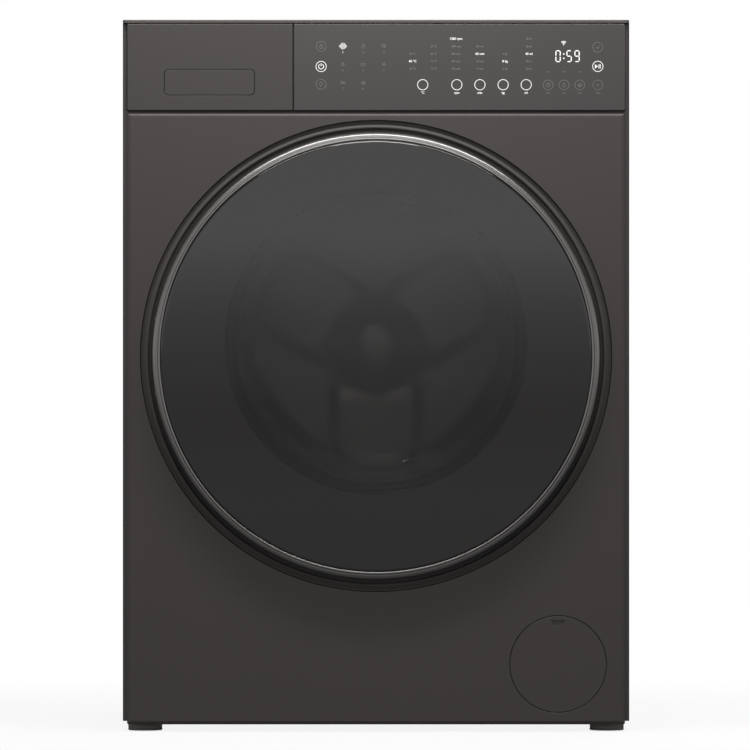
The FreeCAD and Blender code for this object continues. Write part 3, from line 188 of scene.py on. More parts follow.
SHADOW_PLASTIC = finish_surface("shadow_plastic", (0.010, 0.0095, 0.0093), 0.62, grain=1200.0, bump=0.1)
GREY_PLASTIC = finish_surface("grey_plastic", (0.24, 0.245, 0.25), 0.45, grain=1000.0, bump=0.12)
WHITE_PLASTIC = finish_surface("white_plastic", (0.68, 0.68, 0.66), 0.4, grain=1000.0, bump=0.1)
TUB_PLASTIC = finish_surface("tub_plastic", (0.36, 0.37, 0.38), 0.55, grain=600.0, bump=0.25, mottle=0.1)
RUBBER = finish_surface("gasket_rubber", (0.115, 0.115, 0.118), 0.58, grain=900.0, bump=0.18, mottle=0.1)
BLACK_RUBBER = finish_surface("black_rubber", (0.022, 0.022, 0.022), 0.66, grain=900.0, bump=0.3,
                              mottle=0.12)
STAINLESS = finish_surface("drum_stainless", (0.56, 0.555, 0.55), 0.30, metallic=1.0, grain=160.0, bump=0.05,
                           mottle=0.05, rough_spread=0.08, stretch=(1.0, 14.0, 1.0))
GALVANISED = finish_surface("galvanised", (0.50, 0.50, 0.51), 0.44, metallic=1.0, grain=60.0, bump=0.06,
                            mottle=0.14, rough_spread=0.12)
ZINC = finish_surface("zinc_plate", (0.55, 0.55, 0.56), 0.32, metallic=1.0, grain=700.0, bump=0.05)
CAST = finish_surface("cast_alloy", (0.46, 0.46, 0.47), 0.55, metallic=1.0, grain=500.0, bump=0.4,
                      mottle=0.1)
TRIM_METAL = finish_surface("trim_metal", (0.20, 0.194, 0.191), 0.36, metallic=1.0, grain=1500.0, bump=0.02,
                            mottle=0.03, rough_spread=0.04)
CONCRETE = finish_surface("concrete", (0.40, 0.39, 0.37), 0.9, grain=240.0, bump=0.9, mottle=0.2)
COPPER = finish_surface("copper_winding", (0.72, 0.34, 0.16), 0.35, metallic=1.0, grain=500.0, bump=0.5,
                        stretch=(1.0, 6.0, 1.0))
PANEL_GLASS = finish_surface("panel_glass", (0.024, 0.0208, 0.0200), 0.22, grain=1800.0, bump=0.005,
                             mottle=0.02, rough_spread=0.03, coat=0.35, coat_roughness=0.06)
FOOT_FINISH = finish_surface("foot_rubber", (0.135, 0.124, 0.119), 0.55, grain=900.0, bump=0.2, mottle=0.1)
DRUM_BACK_FINISH = finish_surface("drum_back_stainless", (0.50, 0.495, 0.49), 0.36, metallic=1.0,
                                  grain=220.0, bump=0.05, mottle=0.05, rough_spread=0.06)
PADDLE_FINISH = finish_surface("paddle_plastic", (0.30, 0.305, 0.31), 0.36, grain=1000.0, bump=0.06)
DOOR_TINT = clear_surface("door_tint_glass", (0.27, 0.257, 0.253), 0.0, smear=0.015)
BOWL_GLASS = clear_surface("bowl_glass", (0.93, 0.96, 0.95), 0.0, smear=0.02)
BORDER_GLASS = finish_surface("border_glass", (0.016, 0.0145, 0.014), 0.035, grain=40.0, bump=0.0,
                              mottle=0.02, rough_spread=0.01)
LIT = glowing_surface("lit_print", (0.62, 0.61, 0.60), 0.8)
DIM = finish_surface("dim_print", (0.15, 0.138, 0.132), 0.5, grain=900.0, bump=0.02)


# ---------------------------------------------------------------- mesh helpers
FLAT = 1.0 - 1e-7           # a face this square to an axis is shaded flat


def place_mesh(name, mesh, material, body, replaces=(), sharp_deg=35.0):
    """Object from a mesh, with its material, the CAD nodes that it stands for, and its body, if only one."""
    piece = bpy.data.objects.new(name, mesh)
    bpy.context.scene.collection.objects.link(piece)
    mesh.materials.clear()
    mesh.materials.append(material)
    mesh.shade_smooth()
    mesh.set_sharp_from_angle(angle=math.radians(sharp_deg))
    for face in mesh.polygons:
        if max(abs(part) for part in face.normal) > FLAT:
            face.use_smooth = False
    if replaces:
        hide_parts(*replaces)
    if body:
        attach(piece, body)
    return piece


def mesh_from_bmesh(name, shape):
    """Mesh data from a bmesh, with its faces turned outwards."""
    bmesh.ops.recalc_face_normals(shape, faces=shape.faces)
    mesh = bpy.data.meshes.new(name)
    shape.to_mesh(mesh)
    shape.free()
    return mesh


def rounded(profile, radius, steps=4, closed=True):
    """Profile points with each corner turned into an arc, as far as its two sides allow."""
    count = len(profile)
    result = []
    for index, corner in enumerate(profile):
        if not closed and index in (0, count - 1):
            result.append(corner)
            continue
        before = Vector(profile[index - 1])
        here = Vector(corner)
        after = Vector(profile[(index + 1) % count])
        inward = before - here
        outward = after - here
        reach = min(radius, 0.45 * inward.length, 0.45 * outward.length)
        first = here + inward.normalized() * reach
        last = here + outward.normalized() * reach
        for step in range(steps + 1):
            share = step / steps
            point = first.lerp(here, share).lerp(here.lerp(last, share), share)
            result.append((point.x, point.y))
    return result


def lathe_y(profile, centre, segments=256, closed=True):
    """bmesh turned about an axis along Y; the profile is (radius, y) and centre is (x, z)."""
    shape = bmesh.new()
    rings = []
    for radius, y in profile:
        if radius < 1e-7:
            rings.append([shape.verts.new((centre[0], y, centre[1]))])
            continue
        ring = []
        for index in range(segments):
            angle = TURN * index / segments
            ring.append(shape.verts.new((centre[0] + radius * math.cos(angle), y,
                                         centre[1] + radius * math.sin(angle))))
        rings.append(ring)
    skin_rings(shape, rings, closed)
    return shape


def lathe_z(profile, centre, segments=48, closed=True):
    """bmesh turned about an axis along Z; the profile is (radius, z) and centre is (x, y)."""
    shape = bmesh.new()
    rings = []
    for radius, z in profile:
        if radius < 1e-7:
            rings.append([shape.verts.new((centre[0], centre[1], z))])
            continue
        ring = []
        for index in range(segments):
            angle = TURN * index / segments
            ring.append(shape.verts.new((centre[0] + radius * math.cos(angle),
                                         centre[1] + radius * math.sin(angle), z)))
        rings.append(ring)
    skin_rings(shape, rings, closed)
    return shape


def skin_rings(shape, rings, closed):
    """Faces between neighbouring rings; a ring of one vertex is a pole."""
    pairs = list(zip(rings, rings[1:]))
    if closed:
        pairs.append((rings[-1], rings[0]))
    for low, high in pairs:
        count = max(len(low), len(high))
        if count == 1:
            continue
        for index in range(count):
            following = (index + 1) % count
            corners = [low[index % len(low)], low[following % len(low)],
                       high[following % len(high)], high[index % len(high)]]
            unique = list(dict.fromkeys(corners))
            if len(unique) > 2:
                shape.faces.new(unique)


def outline_rectangle(x0, x1, z0, z1, radius, steps=8):
    """Points round a rectangle with rounded corners."""
    points = []
    corners = ((x1 - radius, z1 - radius, 0.0), (x0 + radius, z1 - radius, 90.0),
               (x0 + radius, z0 + radius, 180.0), (x1 - radius, z0 + radius, 270.0))
    for x, z, start in corners:
        for step in range(steps + 1):
            angle = math.radians(start + 90.0 * step / steps)
            points.append((x + radius * math.cos(angle), z + radius * math.sin(angle)))
    return points


def outline_circle(x, z, radius, steps=128):
    """Points round a circle."""
    turns = [TURN * i / steps for i in range(steps)]
    return [(x + radius * math.cos(turn), z + radius * math.sin(turn)) for turn in turns]


def circle_edge(x, z, radius, steps=192):
    """Outline of a circle that grows smaller by an inset."""
    return lambda inset: outline_circle(x, z, radius - inset, steps)


def rectangle_edge(x0, x1, z0, z1, radius, steps=8):
    """Outline of a rounded rectangle that grows smaller by an inset."""
    return lambda inset: outline_rectangle(x0 + inset, x1 - inset, z0 + inset, z1 - inset,
                                           max(radius - inset, 0.0001), steps)


def plate_y(outer, holes, y_front, y_back, edge_r=0.0005, hole_r=0.0005, steps=4):
    """Closed flat plate facing -Y, with rounded front edges round its outline and its holes."""
    shape = bmesh.new()
    front_edges = []
    back_edges = []
    for edge, radius, side in [(outer, edge_r, 1.0)] + [(hole, hole_r, -1.0) for hole in holes]:
        loops = []
        for step in range(steps + 1):
            angle = 0.5 * math.pi * step / steps
            inset = side * radius * (1.0 - math.sin(angle))
            y = y_front + radius * (1.0 - math.cos(angle))
            loops.append([shape.verts.new((x, y, z)) for x, z in edge(inset)])
        loops.append([shape.verts.new((x, y_back, z)) for x, z in edge(0.0)])
        for near, far in zip(loops, loops[1:]):
            for index in range(len(near)):
                following = (index + 1) % len(near)
                shape.faces.new((near[index], near[following], far[following], far[index]))
        for loop, edges in ((loops[0], front_edges), (loops[-1], back_edges)):
            for index, vert in enumerate(loop):
                edges.append(shape.edges.get((vert, loop[(index + 1) % len(loop)])))
    for edges in (front_edges, back_edges):
        bmesh.ops.triangle_fill(shape, use_beauty=True, use_dissolve=False, edges=edges)
    return shape


def merge(name, shapes):
    """One mesh from several bmeshes."""
    whole = bmesh.new()
    for shape in shapes:
        part = mesh_from_bmesh(name, shape)
        whole.from_mesh(part)
        bpy.data.meshes.remove(part)
    mesh = bpy.data.meshes.new(name)
    whole.to_mesh(mesh)
    whole.free()
    return mesh


def block(low, high, edge_r=0.0006, edge_steps=2):
    """Rectangular block with softened edges."""
    shape = bmesh.new()
    bmesh.ops.create_cube(shape, size=1.0)
    size = Vector(high) - Vector(low)
    centre = (Vector(low) + Vector(high)) / 2.0
    for vert in shape.verts:
        vert.co = Vector([vert.co[axis] * size[axis] + centre[axis] for axis in range(3)])
    if edge_r > 0.0:
        bmesh.ops.bevel(shape, geom=shape.edges[:], offset=edge_r, segments=edge_steps, affect="EDGES",
                        profile=0.5)
    return shape


def ease(value):
    """Smooth step from 0 to 1."""
    held = max(0.0, min(1.0, value))
    return held * held * (3.0 - 2.0 * held)


def cut_away(shape, cutters):
    """bmesh without the space that the closed cutters fill."""
    target = bpy.data.objects.new("cut_target", mesh_from_bmesh("cut_target", shape))
    bpy.context.scene.collection.objects.link(target)
    tool = bpy.data.objects.new("cut_tool", merge("cut_tool", cutters))
    bpy.context.scene.collection.objects.link(tool)
    modifier = target.modifiers.new("cut", "BOOLEAN")
    modifier.operation = "DIFFERENCE"
    modifier.solver = "EXACT"
    modifier.use_self = True
    modifier.object = tool
    graph = bpy.context.evaluated_depsgraph_get()
    result = bmesh.new()
    result.from_object(target, graph)
    for piece in (target, tool):
        mesh = piece.data
        bpy.data.objects.remove(piece)
        bpy.data.meshes.remove(mesh)
    return result


def prism(points, low, high, axis="z"):
    """Closed prism over an outline; the outline is (x, y) for axis z and (x, z) for axis y."""
    shape = bmesh.new()
    if axis == "z":
        loops = [[shape.verts.new((u, v, level)) for u, v in points] for level in (low, high)]
    else:
        loops = [[shape.verts.new((u, level, v)) for u, v in points] for level in (low, high)]
    count = len(points)
    for index in range(count):
        following = (index + 1) % count
        shape.faces.new((loops[0][index], loops[0][following], loops[1][following], loops[1][index]))
    for loop in loops:
        edges = [shape.edges.get((loop[i], loop[(i + 1) % count])) for i in range(count)]
        bmesh.ops.triangle_fill(shape, use_beauty=True, use_dissolve=False, edges=edges)
    return shape


def ribbon(points, width, y_front, y_back, closed=False):
    """Thin stroke of even width along a line of (x, z) points."""
    count = len(points)
    sides = ([], [])
    for index, point in enumerate(points):
        here = Vector(point)
        before = Vector(points[index - 1]) if closed or index > 0 else None
        after = Vector(points[(index + 1) % count]) if closed or index < count - 1 else None
        arriving = (here - before).normalized() if before is not None else None
        leaving = (after - here).normalized() if after is not None else None
        arriving = arriving if arriving is not None else leaving
        leaving = leaving if leaving is not None else arriving
        along = (arriving + leaving).normalized()
        across = Vector((-along.y, along.x))
        reach = 0.5 * width / max(0.4, along.dot(leaving))
        sides[0].append(here + across * reach)
        sides[1].append(here - across * reach)
    shape = bmesh.new()
    levels = [[[shape.verts.new((p.x, y, p.y)) for p in side] for side in sides] for y in (y_front, y_back)]
    spans = count if closed else count - 1
    for index in range(spans):
        following = (index + 1) % count
        for level in levels:
            shape.faces.new((level[0][index], level[0][following], level[1][following], level[1][index]))
        for side in (0, 1):
            shape.faces.new((levels[0][side][index], levels[0][side][following],
                             levels[1][side][following], levels[1][side][index]))
    if not closed:
        for index in (0, count - 1):
            shape.faces.new((levels[0][0][index], levels[0][1][index], levels[1][1][index],
                             levels[1][0][index]))
    return shape


def lettering(text, x, z, height, y_front, thick):
    """Plain characters in the built-in face, centred on a point."""
    curve = bpy.data.curves.new("lettering", "FONT")
    curve.body = text
    curve.size = height * 1.38
    curve.align_x = "CENTER"
    curve.align_y = "CENTER"
    curve.extrude = thick / 2.0
    curve.offset = height * 0.022
    curve.resolution_u = 3
    holder = bpy.data.objects.new("lettering", curve)
    bpy.context.scene.collection.objects.link(holder)
    graph = bpy.context.evaluated_depsgraph_get()
    mesh = bpy.data.meshes.new_from_object(holder.evaluated_get(graph))
    mesh.transform(Matrix.Translation((x, y_front + thick / 2.0, z)) @ Matrix.Rotation(math.pi / 2.0, 4,
                                                                                       "X"))
    shape = bmesh.new()
    shape.from_mesh(mesh)
    bpy.data.objects.remove(holder)
    bpy.data.curves.remove(curve)
    bpy.data.meshes.remove(mesh)
    return shape


# ---------------------------------------------------------------- camera, light and floor
VIEW_WIDTH = 0.888          # what the frame shows at the front of the machine
VIEW_DISTANCE = 9.0
SENSOR = 36.0


def make_camera():
    """Long lens, straight at the front."""
    data = bpy.data.cameras.new("camera")
    data.sensor_width = SENSOR
    data.lens = SENSOR * VIEW_DISTANCE / VIEW_WIDTH
    data.clip_end = 100.0
    camera = bpy.data.objects.new("camera", data)
    bpy.context.scene.collection.objects.link(camera)
    camera.location = (-0.0012, FRONT_Y - VIEW_DISTANCE, 0.4224)
    camera.rotation_euler = (math.pi / 2.0, 0.0, 0.0)
    bpy.context.scene.camera = camera


def soft_light(name, place, aim, size, power, colour=(1.0, 0.985, 0.97)):
    """Rectangular soft box."""
    data = bpy.data.lights.new(name, "AREA")
    data.shape = "RECTANGLE"
    data.size, data.size_y = size
    data.energy = power
    data.color = colour
    lamp = bpy.data.objects.new(name, data)
    bpy.context.scene.collection.objects.link(lamp)
    lamp.location = place
    direction = Vector(aim) - Vector(place)
    lamp.rotation_euler = direction.to_track_quat("-Z", "Y").to_euler()
    lamp.visible_camera = False
    return lamp


def make_world():
    """White behind the object; its reflections see a bright horizon that fades above and below."""
    world = bpy.data.worlds.new("studio")
    bpy.context.scene.world = world
    world.use_nodes = True
    nodes = world.node_tree.nodes
    links = world.node_tree.links
    background = nodes["Background"]
    place = nodes.new("ShaderNodeTexCoord")
    split = nodes.new("ShaderNodeSeparateXYZ")
    links.new(place.outputs["Generated"], split.inputs["Vector"])
    height = nodes.new("ShaderNodeValToRGB")
    stops = height.color_ramp.elements
    levels = ((0.30, 0.10), (0.475, 0.46), (0.491, 0.36), (0.50, 0.50), (0.507, 0.64), (0.5135, 0.86),
              (0.523, 1.35), (0.55, 1.20), (0.64, 0.20), (1.0, 0.15))
    while len(stops) < len(levels):
        stops.new(0.5)
    for stop, (where, level) in zip(stops, levels):
        stop.position = where
        stop.color = (level, level, level, 1.0)
    upright = nodes.new("ShaderNodeMapRange")
    upright.inputs["From Min"].default_value = -1.0
    upright.inputs["From Max"].default_value = 1.0
    links.new(split.outputs["Z"], upright.inputs["Value"])
    links.new(upright.outputs["Result"], height.inputs["Fac"])
    seen = nodes.new("ShaderNodeLightPath")
    chosen = nodes.new("ShaderNodeMix")
    chosen.inputs["B"].default_value = 1.0
    links.new(seen.outputs["Is Camera Ray"], chosen.inputs["Factor"])
    links.new(height.outputs["Color"], chosen.inputs["A"])
    links.new(chosen.outputs["Result"], background.inputs["Strength"])
    background.inputs["Color"].default_value = (1.0, 1.0, 1.0, 1.0)


def make_floor():
    """Pale round floor that fades into the white at its rim."""
    shape = lathe_z([(0.0, 0.0), (0.6, 0.0), (1.2, 0.0), (2.4, 0.0), (4.0, 0.0)], (0.0, 0.0), 96,
                    closed=False)
    mesh = mesh_from_bmesh("floor", shape)
    floor = bpy.data.objects.new("floor", mesh)
    bpy.context.scene.collection.objects.link(floor)
    material, nodes, links, shader = new_material("floor")
    shader.inputs["Base Color"].default_value = (0.92, 0.92, 0.92, 1.0)
    shader.inputs["Roughness"].default_value = 0.7
    place = nodes.new("ShaderNodeTexCoord")
    reach = nodes.new("ShaderNodeVectorMath")
    reach.operation = "LENGTH"
    links.new(place.outputs["Object"], reach.inputs[0])
    fade = nodes.new("ShaderNodeMapRange")
    fade.interpolation_type = "SMOOTHSTEP"
    fade.inputs["From Min"].default_value = 0.42
    fade.inputs["From Max"].default_value = 1.5
    fade.inputs["To Min"].default_value = 0.12
    fade.inputs["To Max"].default_value = 0.0
    links.new(reach.outputs["Value"], fade.inputs["Value"])
    links.new(fade.outputs["Result"], shader.inputs["Alpha"])
    mesh.materials.append(material)


def make_studio():
    """Camera, world, floor and lights."""
    scene = bpy.context.scene
    scene.view_settings.view_transform = "Standard"
    scene.view_settings.look = "None"
    make_camera()
    make_world()
    make_floor()
    soft_light("overhead", (0.0, -1.15, 2.0), (0.0, -0.25, 0.75), (1.6, 0.6), 4.0)
    soft_light("near_top", (0.0, -0.75, 1.45), (0.0, -0.29, 0.55), (1.3, 0.18), 14.0)
    soft_light("drum_glint", (0.0, -3.2, 1.46), (0.0, 0.15, 0.48), (0.4, 0.16), 9.0)
    soft_light("left_strip", (-2.2, -1.2, 1.0), (0.0, -0.1, 0.45), (0.4, 2.0), 1.5)
    soft_light("right_strip", (2.2, -1.2, 1.0), (0.0, -0.1, 0.45), (0.4, 2.0), 1.5)
    soft_light("rear_fill", (0.6, 3.2, 1.8), (0.0, 0.3, 0.4), (2.0, 1.6), 40.0)


# ---------------------------------------------------------------- front panel and its recess
def make_front_panel():
    """Pressed front: skin, recess wall and floor, loading port and its lip."""
    recess_r = SURROUND_R + 0.0004
    cover_x, cover_z = middle("filter_cover").x, middle("filter_cover").z
    cover_r = (COVER_HIGH.x - COVER_LOW.x) / 2.0 + 0.0005
    recess_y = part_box("door_surround_ring")[1].y
    port_r = 0.205
    lip_y = recess_y + 0.0119
    holes = [circle_edge(0.0, DOOR_Z, recess_r, 288), circle_edge(cover_x, cover_z, cover_r, 96)]
    skin = plate_y(rectangle_edge(PANEL_LOW.x, PANEL_HIGH.x, PANEL_LOW.z, PANEL_HIGH.z, 0.0022), holes,
                   FRONT_Y, FRONT_Y + 0.0062, edge_r=0.0046, hole_r=0.0009, steps=7)
    wall = lathe_y(rounded([(recess_r, FRONT_Y + 0.003), (recess_r + 0.0012, FRONT_Y + 0.003),
                            (recess_r + 0.0012, recess_y + 0.0014), (recess_r, recess_y + 0.0014)], 0.0002,
                           1), (0.0, DOOR_Z), 288)
    hook = middle("door_hook")
    slot = rectangle_edge(hook.x - 0.0115, hook.x + 0.0105, hook.z - 0.015, hook.z + 0.015, 0.003)
    floor = plate_y(circle_edge(0.0, DOOR_Z, recess_r, 288), [circle_edge(0.0, DRUM_Z, port_r, 256), slot],
                    recess_y, recess_y + 0.0014, edge_r=0.0002, hole_r=0.0004, steps=2)
    lip = lathe_y([(port_r, recess_y + 0.0006), (port_r + 0.0014, recess_y + 0.0006),
                   (port_r + 0.0014, lip_y), (port_r, lip_y)], (0.0, DRUM_Z), 256)
    mesh = merge("front_panel_skin", [skin, wall, floor, lip])
    return place_mesh("front_panel_skin", mesh, PAINT, "root", ["front_panel"])


def make_surround():
    """Satin ring that lines the recess."""
    inner = 0.2693
    outer = SURROUND_R
    back = SURROUND_HIGH.y
    profile = [(outer, back), (outer, SURROUND_LOW.y + 0.0040), (outer - 0.0012, SURROUND_LOW.y + 0.0042),
               (outer - 0.0048, SURROUND_LOW.y + 0.0026), (inner + 0.0022, SURROUND_LOW.y + 0.0013),
               (inner, SURROUND_LOW.y + 0.0024), (inner, back)]
    mesh = mesh_from_bmesh("surround_ring", lathe_y(rounded(profile, 0.0011, 4), (0.0, DOOR_Z), 320))
    return place_mesh("surround_ring", mesh, SURROUND_FINISH, "root", ["door_surround_ring"],
                      sharp_deg=50.0)


# ---------------------------------------------------------------- cabinet, back and top
def pressed_sheet(outline, stamps, openings, thick, steps=5):
    """Flat sheet in the XZ plane, front at y = 0, with pressed fields and openings, as a closed shell.

    A stamp is (edge, depth, slope): its floor lies at that depth, behind a soft slope of that width."""
    shape = bmesh.new()
    flat = []

    def loop_at(points, y):
        return [shape.verts.new((x, y, z)) for x, z in points]

    def loop_edges(loop):
        edges = []
        for index, vert in enumerate(loop):
            following = loop[(index + 1) % len(loop)]
            edges.append(shape.edges.get((vert, following)) or shape.edges.new((vert, following)))
        return edges

    flat += loop_edges(loop_at(outline(0.0), 0.0))
    for opening in openings:
        flat += loop_edges(loop_at(opening(0.0), 0.0))
    for edge, depth, slope in stamps:
        loops = [loop_at(edge(slope * step / steps), depth * ease(step / steps)) for step in range(steps + 1)]
        flat += loop_edges(loops[0])
        for near, far in zip(loops, loops[1:]):
            for index in range(len(near)):
                following = (index + 1) % len(near)
                shape.faces.new((near[index], near[following], far[following], far[index]))
        bmesh.ops.triangle_fill(shape, use_beauty=True, use_dissolve=False, edges=loop_edges(loops[-1]))
    bmesh.ops.triangle_fill(shape, use_beauty=True, use_dissolve=False, edges=flat)
    bmesh.ops.recalc_face_normals(shape, faces=shape.faces)
    if sum(face.normal.y * face.calc_area() for face in shape.faces) > 0.0:
        bmesh.ops.reverse_faces(shape, faces=shape.faces)
    bmesh.ops.solidify(shape, geom=shape.faces[:], thickness=thick)
    return shape


def turned_sheet(shape, degrees, place):
    """Sheet turned about Z and moved to its wall."""
    bmesh.ops.rotate(shape, cent=(0, 0, 0), matrix=Matrix.Rotation(math.radians(degrees), 3, "Z"),
                     verts=shape.verts)
    bmesh.ops.translate(shape, vec=place, verts=shape.verts)
    return shape


INLET_Z = 0.785
DRAIN_SPOT = (-0.250, 0.150)     # spots as seen from behind
GLAND_SPOT = (0.250, 0.700)
TRANSIT_X = 0.225
TRANSIT_Z = (0.330, 0.600)
CONSOLE_BASE_Z = 0.7355
CONSOLE_EDGE_X = 0.2954


def back_openings():
    """Holes of the back wall, as edges in a frame where x runs from the right-hand side to the left."""
    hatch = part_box("rear_cover")
    rim = 0.012
    holes = [rectangle_edge(-hatch[1].x + rim, hatch[1].x - rim, hatch[0].z + rim, hatch[1].z - rim, 0.006)]
    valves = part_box("inlet_valves")
    for x in (valves[0].x + 0.015, valves[1].x - 0.015):
        holes.append(circle_edge(-x, INLET_Z, 0.0147, 40))
    holes.append(circle_edge(*DRAIN_SPOT, 0.0138, 40))
    holes.append(circle_edge(*GLAND_SPOT, 0.0083, 32))
    for x in (-TRANSIT_X, TRANSIT_X):
        for z in TRANSIT_Z:
            holes.append(circle_edge(x, z, 0.013, 36))
    return holes


def make_cabinet():
    """Wrapped cabinet: pressed sides, rounded rear corners, beaded back, folded front edges and front rail."""
    low, high = CABINET_LOW, CABINET_HIGH
    sheet = 0.0012
    bend = 0.006
    depth = high.y - low.y
    shapes = []
    side_outline = rectangle_edge(0.0, depth - bend, low.z, high.z, 0.0003, 1)
    field = rectangle_edge(0.075, depth - 0.085, low.z + 0.105, high.z - 0.130, 0.045, 12)
    notch = rectangle_edge(0.075, depth - 0.085, high.z - 0.100, high.z - 0.062, 0.019, 12)
    for side in (-1, 1):
        wall = pressed_sheet(side_outline, [(field, 0.0022, 0.014), (notch, 0.0022, 0.010)], [], sheet)
        if side < 0:
            turned_sheet(wall, -90.0, (low.x, high.y - bend, 0.0))
        else:
            turned_sheet(wall, 90.0, (high.x, low.y, 0.0))
        shapes.append(wall)
        corner_x = side * (high.x - bend)
        corner = bmesh.new()
        arcs = []
        for z in (low.z, high.z):
            for radius in (bend, bend - sheet):
                points = []
                for step in range(9):
                    angle = math.radians(90.0 - side * 90.0 * step / 8)
                    points.append(corner.verts.new((corner_x + radius * math.cos(angle),
                                                    high.y - bend + radius * math.sin(angle), z)))
                arcs.append(points)
        for step in range(8):
            for first, second in ((0, 2), (3, 1), (1, 0), (2, 3)):
                corner.faces.new((arcs[first][step], arcs[first][step + 1], arcs[second][step + 1],
                                  arcs[second][step]))
        for step in (0, 8):
            corner.faces.new((arcs[0][step], arcs[1][step], arcs[3][step], arcs[2][step]))
        shapes.append(corner)
        edge = sorted((side * high.x, side * (high.x - 0.018)))
        shapes.append(block((edge[0], low.y, low.z), (edge[1], low.y + sheet, CONSOLE_BASE_Z), 0.0004))
        strip = sorted((side * high.x, side * CONSOLE_EDGE_X))
        shapes.append(block((strip[0], low.y, CONSOLE_BASE_Z), (strip[1], low.y + sheet, high.z - 0.0008),
                            0.0003))
        bracket = sorted((side * (high.x - 0.0015), side * 0.203))
        shapes.append(block((bracket[0], 0.012, 0.800), (bracket[1], 0.048, 0.803), 0.0005))
    rail = low.y + 0.0004
    shapes.append(block((-high.x + 0.002, rail, CONSOLE_BASE_Z - 0.0093),
                        (high.x - 0.002, rail + sheet, CONSOLE_BASE_Z - 0.0002), 0.0003))
    half = high.x - bend
    beads = []
    for x0, x1 in ((-0.270, -0.235), (0.235, 0.270)):
        beads.append((rectangle_edge(x0, x1, 0.370, 0.560, 0.010, 8), 0.0022, 0.008))
    beads.append((rectangle_edge(-0.200, 0.190, 0.075, 0.110, 0.012, 8), 0.0022, 0.008))
    beads.append((rectangle_edge(-0.200, 0.190, 0.160, 0.195, 0.012, 8), 0.0022, 0.008))
    beads.append((rectangle_edge(-0.060, 0.060, 0.735, 0.805, 0.012, 8), 0.0022, 0.008))
    back = pressed_sheet(rectangle_edge(-half, half, low.z, high.z, 0.0003, 1), beads, back_openings(),
                         sheet)
    shapes.append(turned_sheet(back, 180.0, (0.0, high.y, 0.0)))
    place_mesh("cabinet_skin", merge("cabinet_skin", shapes), SIDE_PAINT, "root", ["cabinet_shell"],
               sharp_deg=40.0)


def make_rear_hatch():
    """Raised service cover with pressed ribs and the holes for its screws."""
    low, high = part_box("rear_cover")
    rise = 0.0070
    rim = 0.027
    raised = rectangle_edge(low.x + rim, high.x - rim, low.z + rim, high.z - rim, 0.020, 12)
    sheet = 0.0012
    shape = pressed_sheet(rectangle_edge(low.x, high.x, low.z, high.z, 0.006),
                          [(raised, -rise + sheet, 0.005)],
                          [circle_edge(x, z, 0.0024, 20) for x, z in hatch_screws()], sheet)
    ribs = []
    count = 7
    for index in range(count):
        z = low.z + 0.080 + (high.z - low.z - 0.160) * index / (count - 1)
        rib = plate_y(rectangle_edge(low.x + 0.062, high.x - 0.062, z - 0.009, z + 0.009, 0.0088), [], -rise,
                      -rise + sheet * 1.05, edge_r=0.0010, steps=3)
        ribs.append(rib)
    shapes = [turned_sheet(piece, 180.0, (0.0, low.y + sheet, 0.0)) for piece in [shape] + ribs]
    place_mesh("rear_hatch", merge("rear_hatch", shapes), GALVANISED, "root", ["rear_cover"],
               sharp_deg=40.0)


def hatch_screws():
    """Centres of the screws of the service cover."""
    low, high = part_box("rear_cover")
    z0, z1 = low.z + 0.012, high.z - 0.012
    return [(side * (high.x - 0.006), z0 + share * (z1 - z0)) for side in (-1, 1) for share in (0.02, 0.35,
                                                                                                0.65, 0.98)]


def make_hatch_screws():
    """Pan-head screws round the service cover."""
    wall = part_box("rear_cover")[0].y + 0.0012
    shapes = []
    for x, z in hatch_screws():
        shapes.append(screw_head(x, wall, z, 0.0042, 0.0024, 1.0))
        shapes.append(lathe_y([(0.0, wall), (0.0019, wall), (0.0019, wall - 0.0012), (0.0, wall - 0.0012)],
                              (x, z), 16, closed=False))
    place_mesh("hatch_screws", merge("hatch_screws", shapes), ZINC, "root", ["rear_screws"])


def make_top():
    """Top with softened edges and a stiffening board below."""
    low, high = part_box("top_panel")
    thick = 0.0037
    slab = plate_y(rectangle_edge(low.x, high.x, low.y, high.y, 0.0042, 8), [], -high.z, -high.z + thick,
                   edge_r=0.0016, steps=6)
    bmesh.ops.rotate(slab, cent=(0, 0, 0), matrix=Matrix.Rotation(-math.pi / 2.0, 3, "X"), verts=slab.verts)
    board = block((low.x + 0.0035, -0.259, low.z), (high.x - 0.0035, 0.2965, high.z - thick + 0.0002), 0.001)
    place_mesh("top_cover", merge("top_cover", [slab, board]), TOP_FINISH, "root", ["top_panel"])


